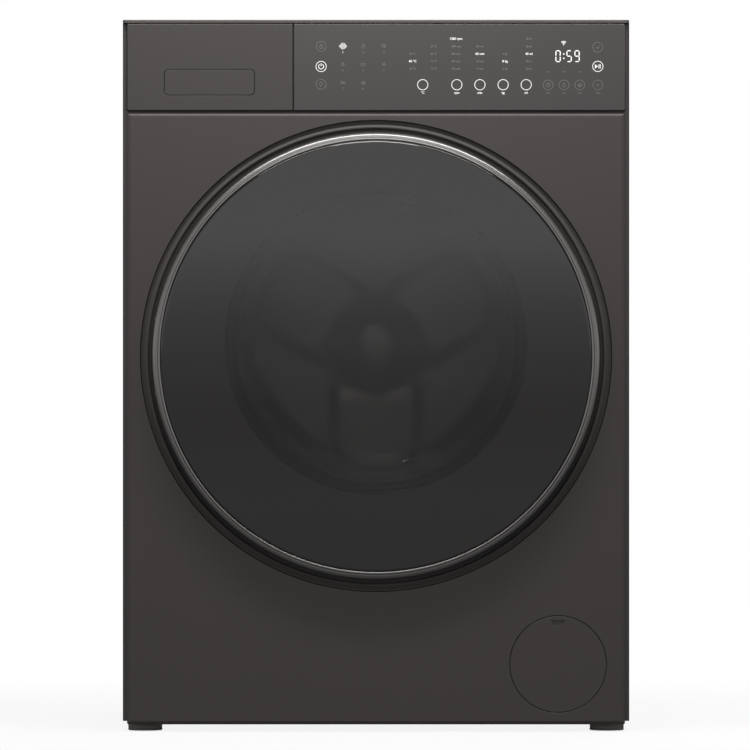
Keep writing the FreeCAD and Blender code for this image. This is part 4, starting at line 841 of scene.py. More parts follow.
def make_feet():
    """Levelling feet: pads with a ribbed band, and their threaded stems."""
    for node, body in (("foot_front_left", "foot_fl"), ("foot_front_right", "foot_fr"),
                       ("foot_rear_left", "foot_rl"), ("foot_rear_right", "foot_rr")):
        low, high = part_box(node)
        centre = ((low.x + high.x) / 2.0, (low.y + high.y) / 2.0)
        radius = (high.x - low.x) / 2.0
        pad = lathe_z(rounded([(0.0, 0.0), (radius - 0.0012, 0.0), (radius, 0.0010), (radius, 0.0022),
                               (radius - 0.0009, 0.0026), (radius - 0.0009, 0.0058), (radius, 0.0062),
                               (radius, 0.0074), (radius - 0.0014, 0.0084), (0.0090, 0.0084),
                               (0.0075, 0.0092),
                               (0.0, 0.0092)], 0.0006, 3, closed=False), centre, 72, closed=False)
        ribs = []
        for index in range(36):
            angle = TURN * index / 36
            rib = block((radius - 0.0022, -0.0006, 0.0026), (radius - 0.0003, 0.0006, 0.0058), 0.0002, 1)
            bmesh.ops.rotate(rib, cent=(0, 0, 0), matrix=Matrix.Rotation(angle, 3, "Z"), verts=rib.verts)
            bmesh.ops.translate(rib, vec=(centre[0], centre[1], 0.0), verts=rib.verts)
            ribs.append(rib)
        pad_name = node + "_pad"
        place_mesh(pad_name, merge(pad_name, [pad] + ribs), FOOT_FINISH, body, [node])
        stem = threaded_rod_z(centre, 0.0050, 0.0090, high.z, 0.0015)
        stem_name = node + "_stem"
        place_mesh(stem_name, mesh_from_bmesh(stem_name, stem), ZINC, body)


def threaded_rod_z(centre, radius, z0, z1, pitch, depth=0.0006):
    """Upright rod with a helical thread."""
    shape = bmesh.new()
    segments = 24
    per_turn = 4
    rows = int((z1 - z0) / pitch * per_turn)
    rings = [[shape.verts.new((centre[0], centre[1], z0))]]
    for row in range(rows + 1):
        z = z0 + (z1 - z0) * row / rows
        ring = []
        for index in range(segments):
            phase = (z / pitch - index / segments) % 1.0
            reach = radius - depth * 2.0 * abs(phase - 0.5)
            angle = TURN * index / segments
            ring.append(shape.verts.new((centre[0] + reach * math.cos(angle),
                                         centre[1] + reach * math.sin(angle), z)))
        rings.append(ring)
    rings.append([shape.verts.new((centre[0], centre[1], z1))])
    skin_rings(shape, rings, False)
    return shape


def make_springs():
    """Two wound suspension springs between the cabinet and the tub."""
    low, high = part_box("suspension_springs")
    wire = 0.0019
    for side, label in ((-1, "left"), (1, "right")):
        centre = (side * ((high.x - low.x) / 2.0 - 0.014), (low.y + high.y) / 2.0)
        coil_r = 0.014 - wire - 0.0001
        turns = 22
        around = 22
        shape = bmesh.new()
        rings = []
        total = turns * around
        for step in range(total + 1):
            share = step / total
            angle = TURN * turns * share
            z = low.z + wire + (high.z - low.z - 2.0 * wire) * share
            spot = Vector((centre[0] + coil_r * math.cos(angle), centre[1] + coil_r * math.sin(angle), z))
            outward = Vector((math.cos(angle), math.sin(angle), 0.0))
            ring = []
            for index in range(8):
                phase = TURN * index / 8
                lift = Vector((0.0, 0.0, math.sin(phase)))
                ring.append(shape.verts.new(spot + wire * (outward * math.cos(phase) + lift)))
            rings.append(ring)
        skin_rings(shape, rings, False)
        shape.faces.new(rings[0])
        shape.faces.new(rings[-1])
        name = "spring_" + label
        piece = place_mesh(name, mesh_from_bmesh(name, shape), ZINC, None, ["suspension_springs"])
        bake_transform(piece)


def make_bellows(name, node):
    """Upright convoluted hose between a part above and a part below, attached to no body."""
    low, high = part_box(node)
    centre = ((low.x + high.x) / 2.0, (low.y + high.y) / 2.0)
    outer_r = (high.x - low.x) / 2.0
    wall = 0.0022
    pitch = 0.0085
    cuff = 0.010
    outside = []
    inside = []
    steps = int((high.z - low.z) / pitch * 8)
    for step in range(steps + 1):
        z = low.z + (high.z - low.z) * step / steps
        fade = ease(min(z - low.z, high.z - z) / cuff)
        fold = 0.0022 * fade * (0.5 - 0.5 * math.cos(TURN * (z - low.z) / pitch))
        outside.append((outer_r - fold, z))
        inside.append((outer_r - wall - fold, z))
    mesh = mesh_from_bmesh(name, lathe_z(outside + inside[::-1], centre, 56))
    piece = place_mesh(name, mesh, BLACK_RUBBER, None, [node], sharp_deg=60.0)
    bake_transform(piece)


# ---------------------------------------------------------------- door
HINGE_X = -0.250
HINGE_Y = -0.303
HINGE_ARMS = (DOOR_Z - 0.030, DOOR_Z + 0.030)      # heights of the two fixed arms
DOOR_OPENING = 105.0


def hinge_sweeps(clearance, reach=0.034):
    """Space that the two fixed hinge arms sweep inside the door as it opens."""
    half = 0.003 + clearance
    first = math.radians(90.0)
    last = math.radians(90.0 + DOOR_OPENING)
    outline = [(HINGE_X + half, HINGE_Y), (HINGE_X + half, HINGE_Y + reach)]
    for step in range(15):
        angle = first + (last - first) * step / 14
        outline.append((HINGE_X + reach * math.cos(angle), HINGE_Y + reach * math.sin(angle)))
    outline.append((HINGE_X + reach * math.cos(last) - half * math.sin(last),
                    HINGE_Y + reach * math.sin(last) + half * math.cos(last)))
    for step in range(7):
        angle = math.radians(285.0 + 75.0 * step / 6)
        outline.append((HINGE_X + (0.0046 + clearance) * math.cos(angle),
                        HINGE_Y + (0.0046 + clearance) * math.sin(angle)))
    return [prism(outline, z - 0.004 - clearance, z + 0.004 + clearance) for z in HINGE_ARMS]


def make_trim_ring():
    """Bright ring: a broad rounded shoulder, a fine groove and a bead against the glass."""
    inner = GLASS_R + 0.0004
    front = TRIM_LOW.y
    back = TRIM_HIGH.y
    shoulder = front + 0.0062
    profile = [(TRIM_R, shoulder)]
    for step in range(1, 9):
        angle = 0.5 * math.pi * step / 8
        profile.append((TRIM_R - 0.0052 * (1.0 - math.cos(angle)), shoulder - 0.0058 * math.sin(angle)))
    groove = TRIM_R - 0.0060
    profile += [(groove, front + 0.0003), (groove - 0.0003, front + 0.0009),
                (groove - 0.0006, front + 0.0004)]
    bead = groove - 0.0006
    for step in range(1, 6):
        angle = math.pi * step / 6
        profile.append((bead - (bead - inner) * 0.5 * (1.0 - math.cos(angle)),
                        front + 0.0004 - 0.0004 * math.sin(angle)))
    profile += [(inner, front + 0.0009), (inner, front + 0.0045), (TRIM_R - 0.0032, front + 0.0045),
                (TRIM_R - 0.0032, shoulder)]
    face = lathe_y(profile, (0.0, DOOR_Z), 384)
    skirt = lathe_y([(TRIM_R - 0.0032, shoulder), (TRIM_R, shoulder), (TRIM_R, back - 0.0004),
                     (TRIM_R - 0.0002, back), (TRIM_R - 0.0032, back)], (0.0, DOOR_Z), 384)
    mesh = merge("trim_ring", [face, cut_away(skirt, hinge_sweeps(0.0008))])
    place_mesh("trim_ring", mesh, TRIM_METAL, "door", ["door_trim_ring"], sharp_deg=60.0)


WINDOW_R = 0.1785           # clear middle of the glass, centred on the drum


def crown(x, z):
    """Depth of the glass's front over a point."""
    return CROWN_Y + 0.0032 * (x * x + (z - DOOR_Z) ** 2) / GLASS_R ** 2


def inner_face(x, z):
    """Depth of the glass's back over a point."""
    return GLASS_HIGH.y - 0.0030 * (1.0 - (x * x + (z - DOOR_Z) ** 2) / GLASS_R ** 2)


def make_door_glass():
    """Crowned pane in two fields that share one surface: the clear window and the dark border."""
    around = 384
    window = bmesh.new()
    sides = []
    for depth in (crown, inner_face):
        rings = [[window.verts.new((0.0, depth(0.0, DRUM_Z), DRUM_Z))]]
        for step in range(1, 13):
            reach = WINDOW_R * step / 12
            points = outline_circle(0.0, DRUM_Z, reach, around)
            rings.append([window.verts.new((x, depth(x, z), z)) for x, z in points])
        skin_rings(window, rings, False)
        sides.append(rings[-1])
    skin_rings(window, sides, False)
    place_mesh("door_window_glass", mesh_from_bmesh("door_window_glass", window), DOOR_TINT, "door",
               ["door_glass"], sharp_deg=50.0)
    border = bmesh.new()
    loops = []
    close_to_rim = [0.93, 0.965, 0.985, 1.0]
    for depth, shares in ((crown, [i / 8 for i in range(8)] + close_to_rim),
                          (inner_face, [i / 4 for i in range(5)])):
        rings = []
        for share in shares:
            ring = []
            for (x0, z0), (x1, z1) in zip(outline_circle(0.0, DRUM_Z, WINDOW_R, around),
                                          outline_circle(0.0, DOOR_Z, GLASS_R - 0.0016, around)):
                x, z = x0 + (x1 - x0) * share, z0 + (z1 - z0) * share
                ring.append(border.verts.new((x, depth(x, z), z)))
            rings.append(ring)
        loops.append(rings)
    rim = []
    front = CROWN_Y + 0.0032
    for inset, y in ((0.0012, front + 0.00005), (0.0004, front + 0.0004), (0.0, front + 0.0011),
                     (0.0, GLASS_HIGH.y - 0.0006), (0.0006, GLASS_HIGH.y - 0.00001)):
        rim.append([border.verts.new((x, y, z)) for x, z in outline_circle(0.0, DOOR_Z, GLASS_R - inset,
                                                                           around)])
    skin_rings(border, loops[0] + rim + loops[1][::-1], True)
    place_mesh("door_glass_border", mesh_from_bmesh("door_glass_border", border), BORDER_GLASS, "door",
               ["door_glass"], sharp_deg=40.0)


def flipped_y(shape):
    """Same shape mirrored front to back."""
    bmesh.ops.scale(shape, vec=(1.0, -1.0, 1.0), verts=shape.verts)
    bmesh.ops.reverse_faces(shape, faces=shape.faces)
    return shape


def make_door_bowl():
    """Clear pressed bowl with thick rounded corners."""
    outer = [(0.186, -0.291), (0.186, -0.2864), (0.171, -0.2864), (0.168, -0.265), (0.156, -0.217),
             (0.150, -0.2065), (0.138, -0.2022), (0.090, -0.1994), (0.0, -0.1975)]
    inner = [(0.0, -0.2015), (0.090, -0.2036), (0.136, -0.2066), (0.146, -0.2112), (0.151, -0.219),
             (0.1635, -0.267), (0.166, -0.291)]
    profile = rounded(outer, 0.009, 6, closed=False) + rounded(inner, 0.009, 6, closed=False)
    mesh = mesh_from_bmesh("door_glass_bowl", lathe_y(profile, (0.0, DRUM_Z), 288, closed=True))
    place_mesh("door_glass_bowl", mesh, BOWL_GLASS, "door", ["door_bowl"], sharp_deg=60.0)


def screw_places():
    """Centres of the eight screws in the back of the door."""
    angles = [math.radians(22.5 + 45.0 * index) for index in range(8)]
    return [(0.247 * math.cos(angle), DOOR_Z + 0.247 * math.sin(angle)) for angle in angles]


def make_door_back():
    """Back cover of the door: flat ring with a collar round the bowl, a pressed step and sunk screw seats."""
    front = 0.2834
    outer_r = TRIM_R - 0.0070
    holes = [circle_edge(0.0, DRUM_Z, 0.1748, 256)]
    holes += [circle_edge(x, z, 0.0044, 32) for x, z in screw_places()]
    plate = flipped_y(plate_y(circle_edge(0.0, DOOR_Z, outer_r, 288), holes, front, front + 0.0024,
                              edge_r=0.0012, hole_r=0.0006, steps=4))
    profile = rounded([(0.1725, -0.286), (0.1725, -0.2814), (0.1750, -0.2814), (0.1756, -0.2830),
                       (0.1756, -0.286)], 0.0007, 3)
    collar = lathe_y(profile, (0.0, DRUM_Z), 256)
    bead = lathe_y(rounded([(0.2325, -0.2836), (0.2335, -0.2826), (0.2350, -0.2826), (0.2360, -0.2836)],
                           0.0004, 3), (0.0, DOOR_Z), 256)
    knuckle = block((HINGE_X - 0.009, -0.295, DOOR_Z - 0.0275), (HINGE_X + 0.009, -0.270, DOOR_Z + 0.0275),
                    0.001)
    hook = middle("door_hook")
    hook_room = block((hook.x - 0.0095, -0.295, DOOR_Z - 0.0115), (hook.x + 0.0085, -0.270, DOOR_Z + 0.0115),
                      0.001)
    shape = cut_away(plate, hinge_sweeps(0.0010) + [knuckle, hook_room])
    ends = []
    for side in (-1, 1):
        x = side * 0.238
        ends.append(block((x - 0.014, -0.295, DOOR_Z - 0.042), (x + 0.014, -0.270, DOOR_Z + 0.042), 0.001))
    mesh = merge("door_back_cover", [shape, collar, cut_away(bead, ends)])
    place_mesh("door_back_cover", mesh, SURROUND_FINISH, "door", ["door_inner_frame"])


def screw_head(x, y, z, radius, height, direction):
    """Pan head with a cross recess, on a wall that faces +Y or -Y."""
    profile = [(0.0, 0.0), (radius * 0.96, 0.0), (radius, height * 0.15), (radius * 0.92, height * 0.62),
               (radius * 0.66, height * 0.93), (0.0, height)]
    shape = lathe_y([(r, y + direction * level) for r, level in profile], (x, z), 32, closed=False)
    arm = radius * 0.52
    width = radius * 0.13
    near = y + direction * height * 0.45
    far = y + direction * height * 1.4
    low, high = min(near, far), max(near, far)
    cross = [block((x - arm, low, z - width), (x + arm, high, z + width), 0.0),
             block((x - width, low, z - arm), (x + width, high, z + arm), 0.0)]
    return cut_away(shape, cross)


def make_door_screws():
    """Eight screws that hold the back cover."""
    shapes = []
    for x, z in screw_places():
        shapes.append(screw_head(x, -0.2842, z, 0.0036, 0.0024, 1.0))
        shapes.append(lathe_y([(0.0, -0.2840), (0.0019, -0.2840), (0.0019, -0.2980), (0.0010, -0.3000),
                               (0.0, -0.3000)], (x, z), 16, closed=False))
    place_mesh("door_back_screws", merge("door_back_screws", shapes), ZINC, "door", ["door_screws"])


def make_gasket():
    """Rubber bellows: sealing lip, fold and two clamp grooves, from the front panel to the tub."""
    low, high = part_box("door_gasket")
    face = low.y
    back = face + 0.0108
    port = 0.205
    neck = 0.194
    profile = [(0.1740, face + 0.0028), (0.1755, face), (port - 0.0003, face),
               (port - 0.0003, back + 0.0003),
               (port + 0.0018, back + 0.0003), (port + 0.0018, face + 0.0030),
               (port + 0.0052, face + 0.0030),
               (port + 0.0052, back + 0.0030), (0.1890, back + 0.0030), (0.1876, back + 0.0046),
               (0.1876, -0.2560),
               (0.1890, -0.2544), (0.1990, -0.2528), (0.1990, high.y), (neck + 0.0003, high.y),
               (neck + 0.0003, -0.2503), (0.1874, -0.2516), (0.1848, -0.2544), (0.1848, back + 0.0030),
               (0.1874, back + 0.0002), (0.2010, back + 0.0002), (0.2010, face + 0.0028)]
    dense = []
    for first, second in zip(profile, profile[1:] + profile[:1]):
        span = max(1, round(math.dist(first, second) / 0.004))
        for step in range(span):
            share = step / span
            dense.append((first[0] + (second[0] - first[0]) * share,
                          first[1] + (second[1] - first[1]) * share))
    mesh = mesh_from_bmesh("gasket_bellows", lathe_y(rounded(dense, 0.0007, 2), (0.0, DRUM_Z), 224))
    piece = place_mesh("gasket_bellows", mesh, RUBBER, None, ["door_gasket"],
                       sharp_deg=50.0)
    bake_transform(piece)


# ---------------------------------------------------------------- drum
LIFTERS = (270.0, 30.0, 150.0)       # places of the paddles, in degrees from +X
HOLE_RING_R = 0.167
HOLE_RING_COUNT = 104


def holed_cell(shape, corner, place, cell, radius):
    """Eight faces between the border of a grid cell and an eight-sided hole in its middle.

    corner(i, j) gives the shared vertex of the half-cell grid, place(u, v) a point near the cell's middle."""
    i, j = cell
    border = [corner(i + 2, j + 1), corner(i + 2, j + 2), corner(i + 1, j + 2), corner(i, j + 2),
              corner(i, j + 1), corner(i, j), corner(i + 1, j), corner(i + 2, j)]
    rim = []
    for step in range(8):
        angle = TURN * step / 8
        rim.append(shape.verts.new(place(radius * math.cos(angle), radius * math.sin(angle))))
    for step in range(8):
        following = (step + 1) % 8
        shape.faces.new((border[step], border[following], rim[following], rim[step]))


def make_drum_wall():
    """Rolled wall with staggered rows of small holes."""
    columns = 72
    rows = 16
    thick = 0.0011
    radius = DRUM_R - thick / 2.0
    y_start, y_end = SHELL_LOW.y + 0.022, SHELL_HIGH.y - 0.022
    shape = bmesh.new()
    grid = {}

    def point(turn, y):
        return (radius * math.cos(turn), y, DRUM_Z + radius * math.sin(turn))

    def corner(i, j):
        key = (i % (2 * columns), j)
        if key not in grid:
            grid[key] = shape.verts.new(point(TURN * key[0] / (2 * columns),
                                              y_start + (y_end - y_start) * j / (2 * rows)))
        return grid[key]

    for row in range(rows):
        for column in range(columns):
            i = 2 * column + row % 2
            turn = TURN * (i + 1) / (2 * columns)
            y = y_start + (y_end - y_start) * (row + 0.5) / rows
            holed_cell(shape, corner, lambda u, v: point(turn + u / radius, y + v), (i, 2 * row), 0.0021)
    for edge_y, j in ((SHELL_LOW.y, 0), (SHELL_HIGH.y, 2 * rows)):
        rim = [shape.verts.new(point(TURN * i / (2 * columns), edge_y)) for i in range(2 * columns)]
        for i in range(2 * columns):
            following = (i + 1) % (2 * columns)
            shape.faces.new((corner(i, j), corner(i + 1, j), rim[following], rim[i]))
    bmesh.ops.recalc_face_normals(shape, faces=shape.faces)
    bmesh.ops.solidify(shape, geom=shape.faces[:], thickness=thick)
    place_mesh("drum_wall", mesh_from_bmesh("drum_wall", shape), STAINLESS, "drum", ["drum_shell"],
               sharp_deg=40.0)


def back_depth(x, z):
    """Depth of the drum's back: a round boss and three broad raised arms."""
    reach = math.hypot(x, z)
    boss = 0.018 * 0.5 * (1.0 + math.cos(math.pi * min(1.0, (reach / 0.066) ** 1.8)))
    depth = 0.178 - 0.0075 * (1.0 - reach / DRUM_R) - boss
    lift = 0.0
    for degrees in LIFTERS:
        angle = math.radians(degrees)
        along = x * math.cos(angle) + z * math.sin(angle)
        across = abs(z * math.cos(angle) - x * math.sin(angle))
        if along > 0.0:
            side = ease((0.060 - across) / 0.014)
            end = ease((0.232 - along) / 0.016)
            start = ease((along - 0.030) / 0.040)
            lift = max(lift, side * end * start)
    return depth - 0.0075 * lift


def make_drum_back():
    """Pressed back of the drum with its ring of holes."""
    count = 2 * HOLE_RING_COUNT
    thick = 0.0012
    low, high = HOLE_RING_R - 0.0052, HOLE_RING_R + 0.0052
    inner_rings = [0.004 + 0.0045 * i for i in range(36) if 0.004 + 0.0045 * i < low - 0.002]
    outer_rings = [high + 0.0045 * i for i in range(1, 16) if high + 0.0045 * i < DRUM_R - 0.001]
    shape = bmesh.new()

    def vertex(reach, turn):
        x = reach * math.cos(turn)
        z = reach * math.sin(turn)
        return shape.verts.new((x, back_depth(x, z), DRUM_Z + z))

    def ring(reach):
        return [vertex(reach, TURN * i / count) for i in range(count)]

    pole = [vertex(0.0, 0.0)]
    band = {0: ring(low), 1: ring(HOLE_RING_R), 2: ring(high)}
    inside = [pole] + [ring(reach) for reach in inner_rings] + [band[0]]
    outside = [band[2]] + [ring(reach) for reach in outer_rings] + [ring(DRUM_R + 0.0002)]
    skin_rings(shape, inside, False)
    skin_rings(shape, outside, False)
    for column in range(HOLE_RING_COUNT):
        turn = TURN * (2 * column + 1) / count

        def place(u, v):
            angle = turn + u / HOLE_RING_R
            x = (HOLE_RING_R + v) * math.cos(angle)
            z = (HOLE_RING_R + v) * math.sin(angle)
            return (x, back_depth(x, z), DRUM_Z + z)
        holed_cell(shape, lambda i, j: band[j][i % count], place, (2 * column, 0), 0.0026)
    for vert in band[1]:
        if not vert.link_faces:
            shape.verts.remove(vert)
    bmesh.ops.recalc_face_normals(shape, faces=shape.faces)
    bmesh.ops.solidify(shape, geom=shape.faces[:], thickness=thick)
    rim = lathe_y(rounded([(DRUM_R + 0.0002, 0.1640), (DRUM_R + 0.0014, 0.1640), (DRUM_R + 0.0014, 0.1795),
                           (DRUM_R - 0.0060, 0.1795), (DRUM_R - 0.0060, 0.1783), (DRUM_R + 0.0002, 0.1783)],
                          0.0005, 3), (0.0, DRUM_Z), 208)
    mesh = merge("drum_back_plate", [shape, rim])
    place_mesh("drum_back_plate", mesh, DRUM_BACK_FINISH, "drum", ["drum_back"], sharp_deg=40.0)


def make_drum_mouth():
    """Front of the drum with a rolled mouth and a pressed bead."""
    rim = DRUM_R + 0.0015
    face = -0.2136
    profile = [(rim, -0.1980), (rim, face + 0.0030), (rim - 0.0030, face), (0.2260, face),
               (0.2240, face + 0.0016),
               (0.2100, face + 0.0016), (0.2080, face), (0.1880, face), (0.1826, -0.2152), (0.1796, -0.2188),
               (0.1778, -0.2216), (0.1764, -0.2208), (0.1780, -0.2172), (0.1812, -0.2136), (0.1870, -0.2122),
               (0.2070, -0.2122), (0.2090, -0.2106), (0.2250, -0.2106), (0.2270, -0.2122), (0.2431, -0.2122),
               (0.2431, -0.1980)]
    mesh = mesh_from_bmesh("drum_mouth", lathe_y(rounded(profile, 0.0010, 3), (0.0, DRUM_Z), 240))
    place_mesh("drum_mouth", mesh, STAINLESS, "drum", ["drum_front_ring"], sharp_deg=45.0)


def make_paddles():
    """Three moulded lifters with sloping ends and drain holes."""
    foot_r = DRUM_R - 0.0016
    y_low, y_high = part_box("drum_lifters")[0].y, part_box("drum_lifters")[1].y
    shapes = []
    for degrees in LIFTERS:
        turn = math.radians(degrees + 90.0)
        section = rounded([(-0.033, 0.003), (0.033, 0.003), (0.024, 0.050), (-0.024, 0.050)], 0.013, 6)
        paddle = bmesh.new()
        rings = []
        stations = 24
        for station in range(stations + 1):
            share = station / stations
            y = y_low + (y_high - y_low) * share
            swell = ease(min(share, 1.0 - share) / 0.13)
            ring = []
            for u, v in section:
                height = v * (0.42 + 0.58 * swell)
                across = u * (0.72 + 0.28 * swell)
                reach = foot_r - 0.0012 - height
                lowered = min(reach, math.sqrt(foot_r ** 2 - across ** 2) - 0.0005)
                x = across * math.cos(turn) + lowered * math.sin(turn)
                z = across * math.sin(turn) - lowered * math.cos(turn)
                ring.append(paddle.verts.new((x, y, DRUM_Z + z)))
            rings.append(ring)
        skin_rings(paddle, rings, False)
        for ring in (rings[0], rings[-1]):
            paddle.faces.new(ring)
        bmesh.ops.recalc_face_normals(paddle, faces=paddle.faces)
        pins = []
        for index in range(7):
            y = y_low + (y_high - y_low) * (0.2 + 0.1 * index)
            for across in (-0.011, 0.011):
                reach = foot_r - 0.052
                x = across * math.cos(turn) + reach * math.sin(turn)
                z = across * math.sin(turn) - reach * math.cos(turn)
                pin = lathe_z([(0.0, -0.006), (0.0028, -0.006), (0.0028, 0.006), (0.0, 0.006)], (0.0, 0.0),
                              14, False)
                bmesh.ops.rotate(pin, cent=(0, 0, 0), matrix=Matrix.Rotation(-turn, 3, "Y"), verts=pin.verts)
                bmesh.ops.translate(pin, vec=(x, y, DRUM_Z + z), verts=pin.verts)
                pins.append(pin)
        shapes.append(cut_away(paddle, pins))
    place_mesh("drum_paddles", merge("drum_paddles", shapes), PADDLE_FINISH, "drum", ["drum_lifters"],
               sharp_deg=40.0)


# ---------------------------------------------------------------- console
def make_drawer_face():
    """Drawer front with the grip opening."""
    gap = 0.0004
    opening = rectangle_edge(FLAP_LOW.x - gap, FLAP_HIGH.x + gap, FLAP_LOW.z - gap, FLAP_HIGH.z + gap,
                             0.0054)
    skin = plate_y(rectangle_edge(DRAWER_LOW.x, DRAWER_HIGH.x, DRAWER_LOW.z, DRAWER_HIGH.z, 0.0012),
                   [opening], DRAWER_LOW.y, DRAWER_LOW.y + 0.0042, edge_r=0.0009, hole_r=0.0005)
    pocket_outer = rectangle_edge(FLAP_LOW.x - 0.004, FLAP_HIGH.x + 0.004, FLAP_LOW.z - 0.004,
                                  FLAP_HIGH.z + 0.004, 0.006)
    pocket_inner = rectangle_edge(FLAP_LOW.x - 0.0015, FLAP_HIGH.x + 0.0015, FLAP_LOW.z - 0.0015,
                                  FLAP_HIGH.z + 0.0015, 0.004)
    walls = plate_y(pocket_outer, [pocket_inner], DRAWER_LOW.y + 0.0041, DRAWER_HIGH.y - 0.0015,
                    edge_r=0.0002, hole_r=0.0002, steps=1)
    back = plate_y(pocket_outer, [], DRAWER_HIGH.y - 0.0016, DRAWER_HIGH.y, edge_r=0.0002, steps=1)
    mesh = merge("drawer_face", [skin, walls, back])
    return place_mesh("drawer_face", mesh, DRAWER_FINISH, "drawer", ["drawer_front"])


def make_flap():
    """Grip flap with its two hinge eyes."""
    skin = plate_y(rectangle_edge(FLAP_LOW.x, FLAP_HIGH.x, FLAP_LOW.z, FLAP_HIGH.z, 0.0050), [], FLAP_LOW.y,
                   FLAP_LOW.y + 0.0024, edge_r=0.0005)
    eyes = []
    for x in (FLAP_LOW.x + 0.0060, FLAP_HIGH.x - 0.0090):
        eyes.append(block((x, FLAP_LOW.y + 0.0020, FLAP_HIGH.z - 0.0055),
                          (x + 0.003, FLAP_HIGH.y, FLAP_HIGH.z - 0.0005), 0.0010, 2))
    mesh = merge("grip_flap", [skin] + eyes)
    return place_mesh("grip_flap", mesh, DRAWER_FINISH, "flap", ["drawer_flap"])


def make_console_glass():
    """Glass over the touch keys."""
    shape = plate_y(rectangle_edge(FACE_LOW.x, FACE_HIGH.x, FACE_LOW.z, FACE_HIGH.z, 0.0012), [], FACE_LOW.y,
                    FACE_HIGH.y, edge_r=0.0008)
    return place_mesh("control_glass", mesh_from_bmesh("control_glass", shape), PANEL_GLASS, "root",
                      ["console_glass"])


def make_filter_cover():
    """Round cover with a half-moon finger notch at its top."""
    x, z = middle("filter_cover").x, middle("filter_cover").z
    radius = (COVER_HIGH.x - COVER_LOW.x) / 2.0
    notch_r = 0.0086
    notch_z = z + radius - 0.0026
    top = z + radius - 0.0048

    def notch(inset):
        points = []
        r = notch_r - inset
        flat = top - inset
        lift = math.asin(max(-1.0, min(1.0, (flat - notch_z) / r)))
        for step in range(25):
            angle = math.pi - lift + (math.pi + 2.0 * lift) * step / 24
            points.append((x + r * math.cos(angle), notch_z + r * math.sin(angle)))
        return points

    disc = plate_y(circle_edge(x, z, radius, 144), [notch], COVER_LOW.y, COVER_HIGH.y, edge_r=0.0006,
                   hole_r=0.0004)
    scoop = plate_y(notch, [], COVER_LOW.y + 0.0017, COVER_HIGH.y - 0.0001, edge_r=0.0001, steps=1)
    mesh = merge("filter_door", [disc, scoop])
    return place_mesh("filter_door", mesh, PAINT, "cover", ["filter_cover"])


# ---------------------------------------------------------------- marks on the control glass
MARK_T = 0.00004            # how far the print stands off the glass
MARK_Y = FACE_LOW.y - 0.00005
KEY_R = 0.0061
OPTION_ROWS = (0.8205, 0.8114, 0.8026, 0.7938, 0.7850)
KEY_ROW = 0.7661
KEY_COLUMNS = (0.0553, 0.0957, 0.1230, 0.1505, 0.1778)
LABEL_ROW = 0.7565
POWER_X = -0.0650
START_X = 0.2626
PROGRAMME_X = (-0.0393, -0.0152, 0.0093)
PROGRAMME_Z = (0.8118, 0.7903, 0.7686)


def stroke(points, width=0.0005, closed=False):
    """Printed line in millimetres about a centre, as a function of that centre."""
    def drawn(x, z):
        moved = [(x + u * MM, z + v * MM) for u, v in points]
        return ribbon(moved, width, MARK_Y, MARK_Y + MARK_T, closed)
    return drawn


def arc_points(radius, start, end, steps=18, u=0.0, v=0.0):
    """Points of an arc in millimetres, from one angle in degrees to another."""
    points = []
    for step in range(steps + 1):
        angle = math.radians(start + (end - start) * step / steps)
        points.append((u + radius * math.cos(angle), v + radius * math.sin(angle)))
    return points


def key_ring(x, z, radius=KEY_R, width=0.0007):
    """Printed circle of a touch key."""
    circle = [(x + radius * math.cos(TURN * i / 56), z + radius * math.sin(TURN * i / 56)) for i in range(56)]
    return ribbon(circle, width, MARK_Y, MARK_Y + MARK_T, closed=True)


def number(text, x, z, height=0.0023):
    """Printed value."""
    return lettering(text, x, z, height, MARK_Y, MARK_T)


ICON_DROP = [stroke([(0.0, 2.6)] + arc_points(1.7, 40.0, -220.0, 16, 0.0, -0.7), closed=True)]
ICON_SUN = [stroke(arc_points(1.2, 0.0, 340.0, 16), closed=True)] + [
    stroke([(1.8 * math.cos(TURN * i / 6), 1.8 * math.sin(TURN * i / 6)),
            (2.7 * math.cos(TURN * i / 6), 2.7 * math.sin(TURN * i / 6))]) for i in range(6)]
ICON_WAVE = [stroke([(-2.6 + 0.26 * i, level + 0.6 * math.sin(0.62 * i)) for i in range(21)])
             for level in (0.9, -0.9)]
ICON_SHEETS = [stroke([(-2.4, level), (0.0, level + 1.2), (2.4, level), (0.0, level - 1.2)], closed=True)
               for level in (1.1, -0.7)]
ICON_FLAKE = [stroke([(-2.5 * math.cos(a), -2.5 * math.sin(a)), (2.5 * math.cos(a), 2.5 * math.sin(a))])
              for a in (0.0, TURN / 6.0, TURN / 3.0)]
ICON_SPIRAL = [stroke([(0.1 * i * math.cos(0.5 * i), 0.1 * i * math.sin(0.5 * i)) for i in range(4, 27)])]
ICON_CLOCK = [stroke(arc_points(2.4, 0.0, 345.0, 24), closed=True),
              stroke([(0.0, 1.5), (0.0, 0.0), (1.1, -0.5)])]
ICON_BASIN = [stroke([(-2.7, 1.5), (-2.0, -1.8), (2.0, -1.8), (2.7, 1.5)]),
              stroke([(-1.6 + 0.32 * i, 0.4 + 0.35 * math.sin(0.9 * i)) for i in range(11)])]
ICON_LOCK = [stroke([(-1.8, 0.2), (1.8, 0.2), (1.8, -2.4), (-1.8, -2.4)], closed=True),
             stroke([(-1.1, 0.2)] + arc_points(1.1, 180.0, 0.0, 10, 0.0, 1.1) + [(1.1, 0.2)])]
ICON_BULB = [stroke(arc_points(1.8, -50.0, 230.0, 18, 0.0, 0.6)), stroke([(-0.9, -1.5), (0.9, -1.5)]),
             stroke([(-0.7, -2.2), (0.7, -2.2)])]
ICON_TICK = [stroke([(-1.8, 0.1), (-0.5, -1.4), (2.0, 1.6)], 0.0006)]
ICON_PLUS = [stroke([(-1.8, 0.0), (1.8, 0.0)]), stroke([(0.0, -1.8), (0.0, 1.8)])]


def icon(strokes, x, z):
    """Icon drawn about a point."""
    return [line(x, z) for line in strokes]


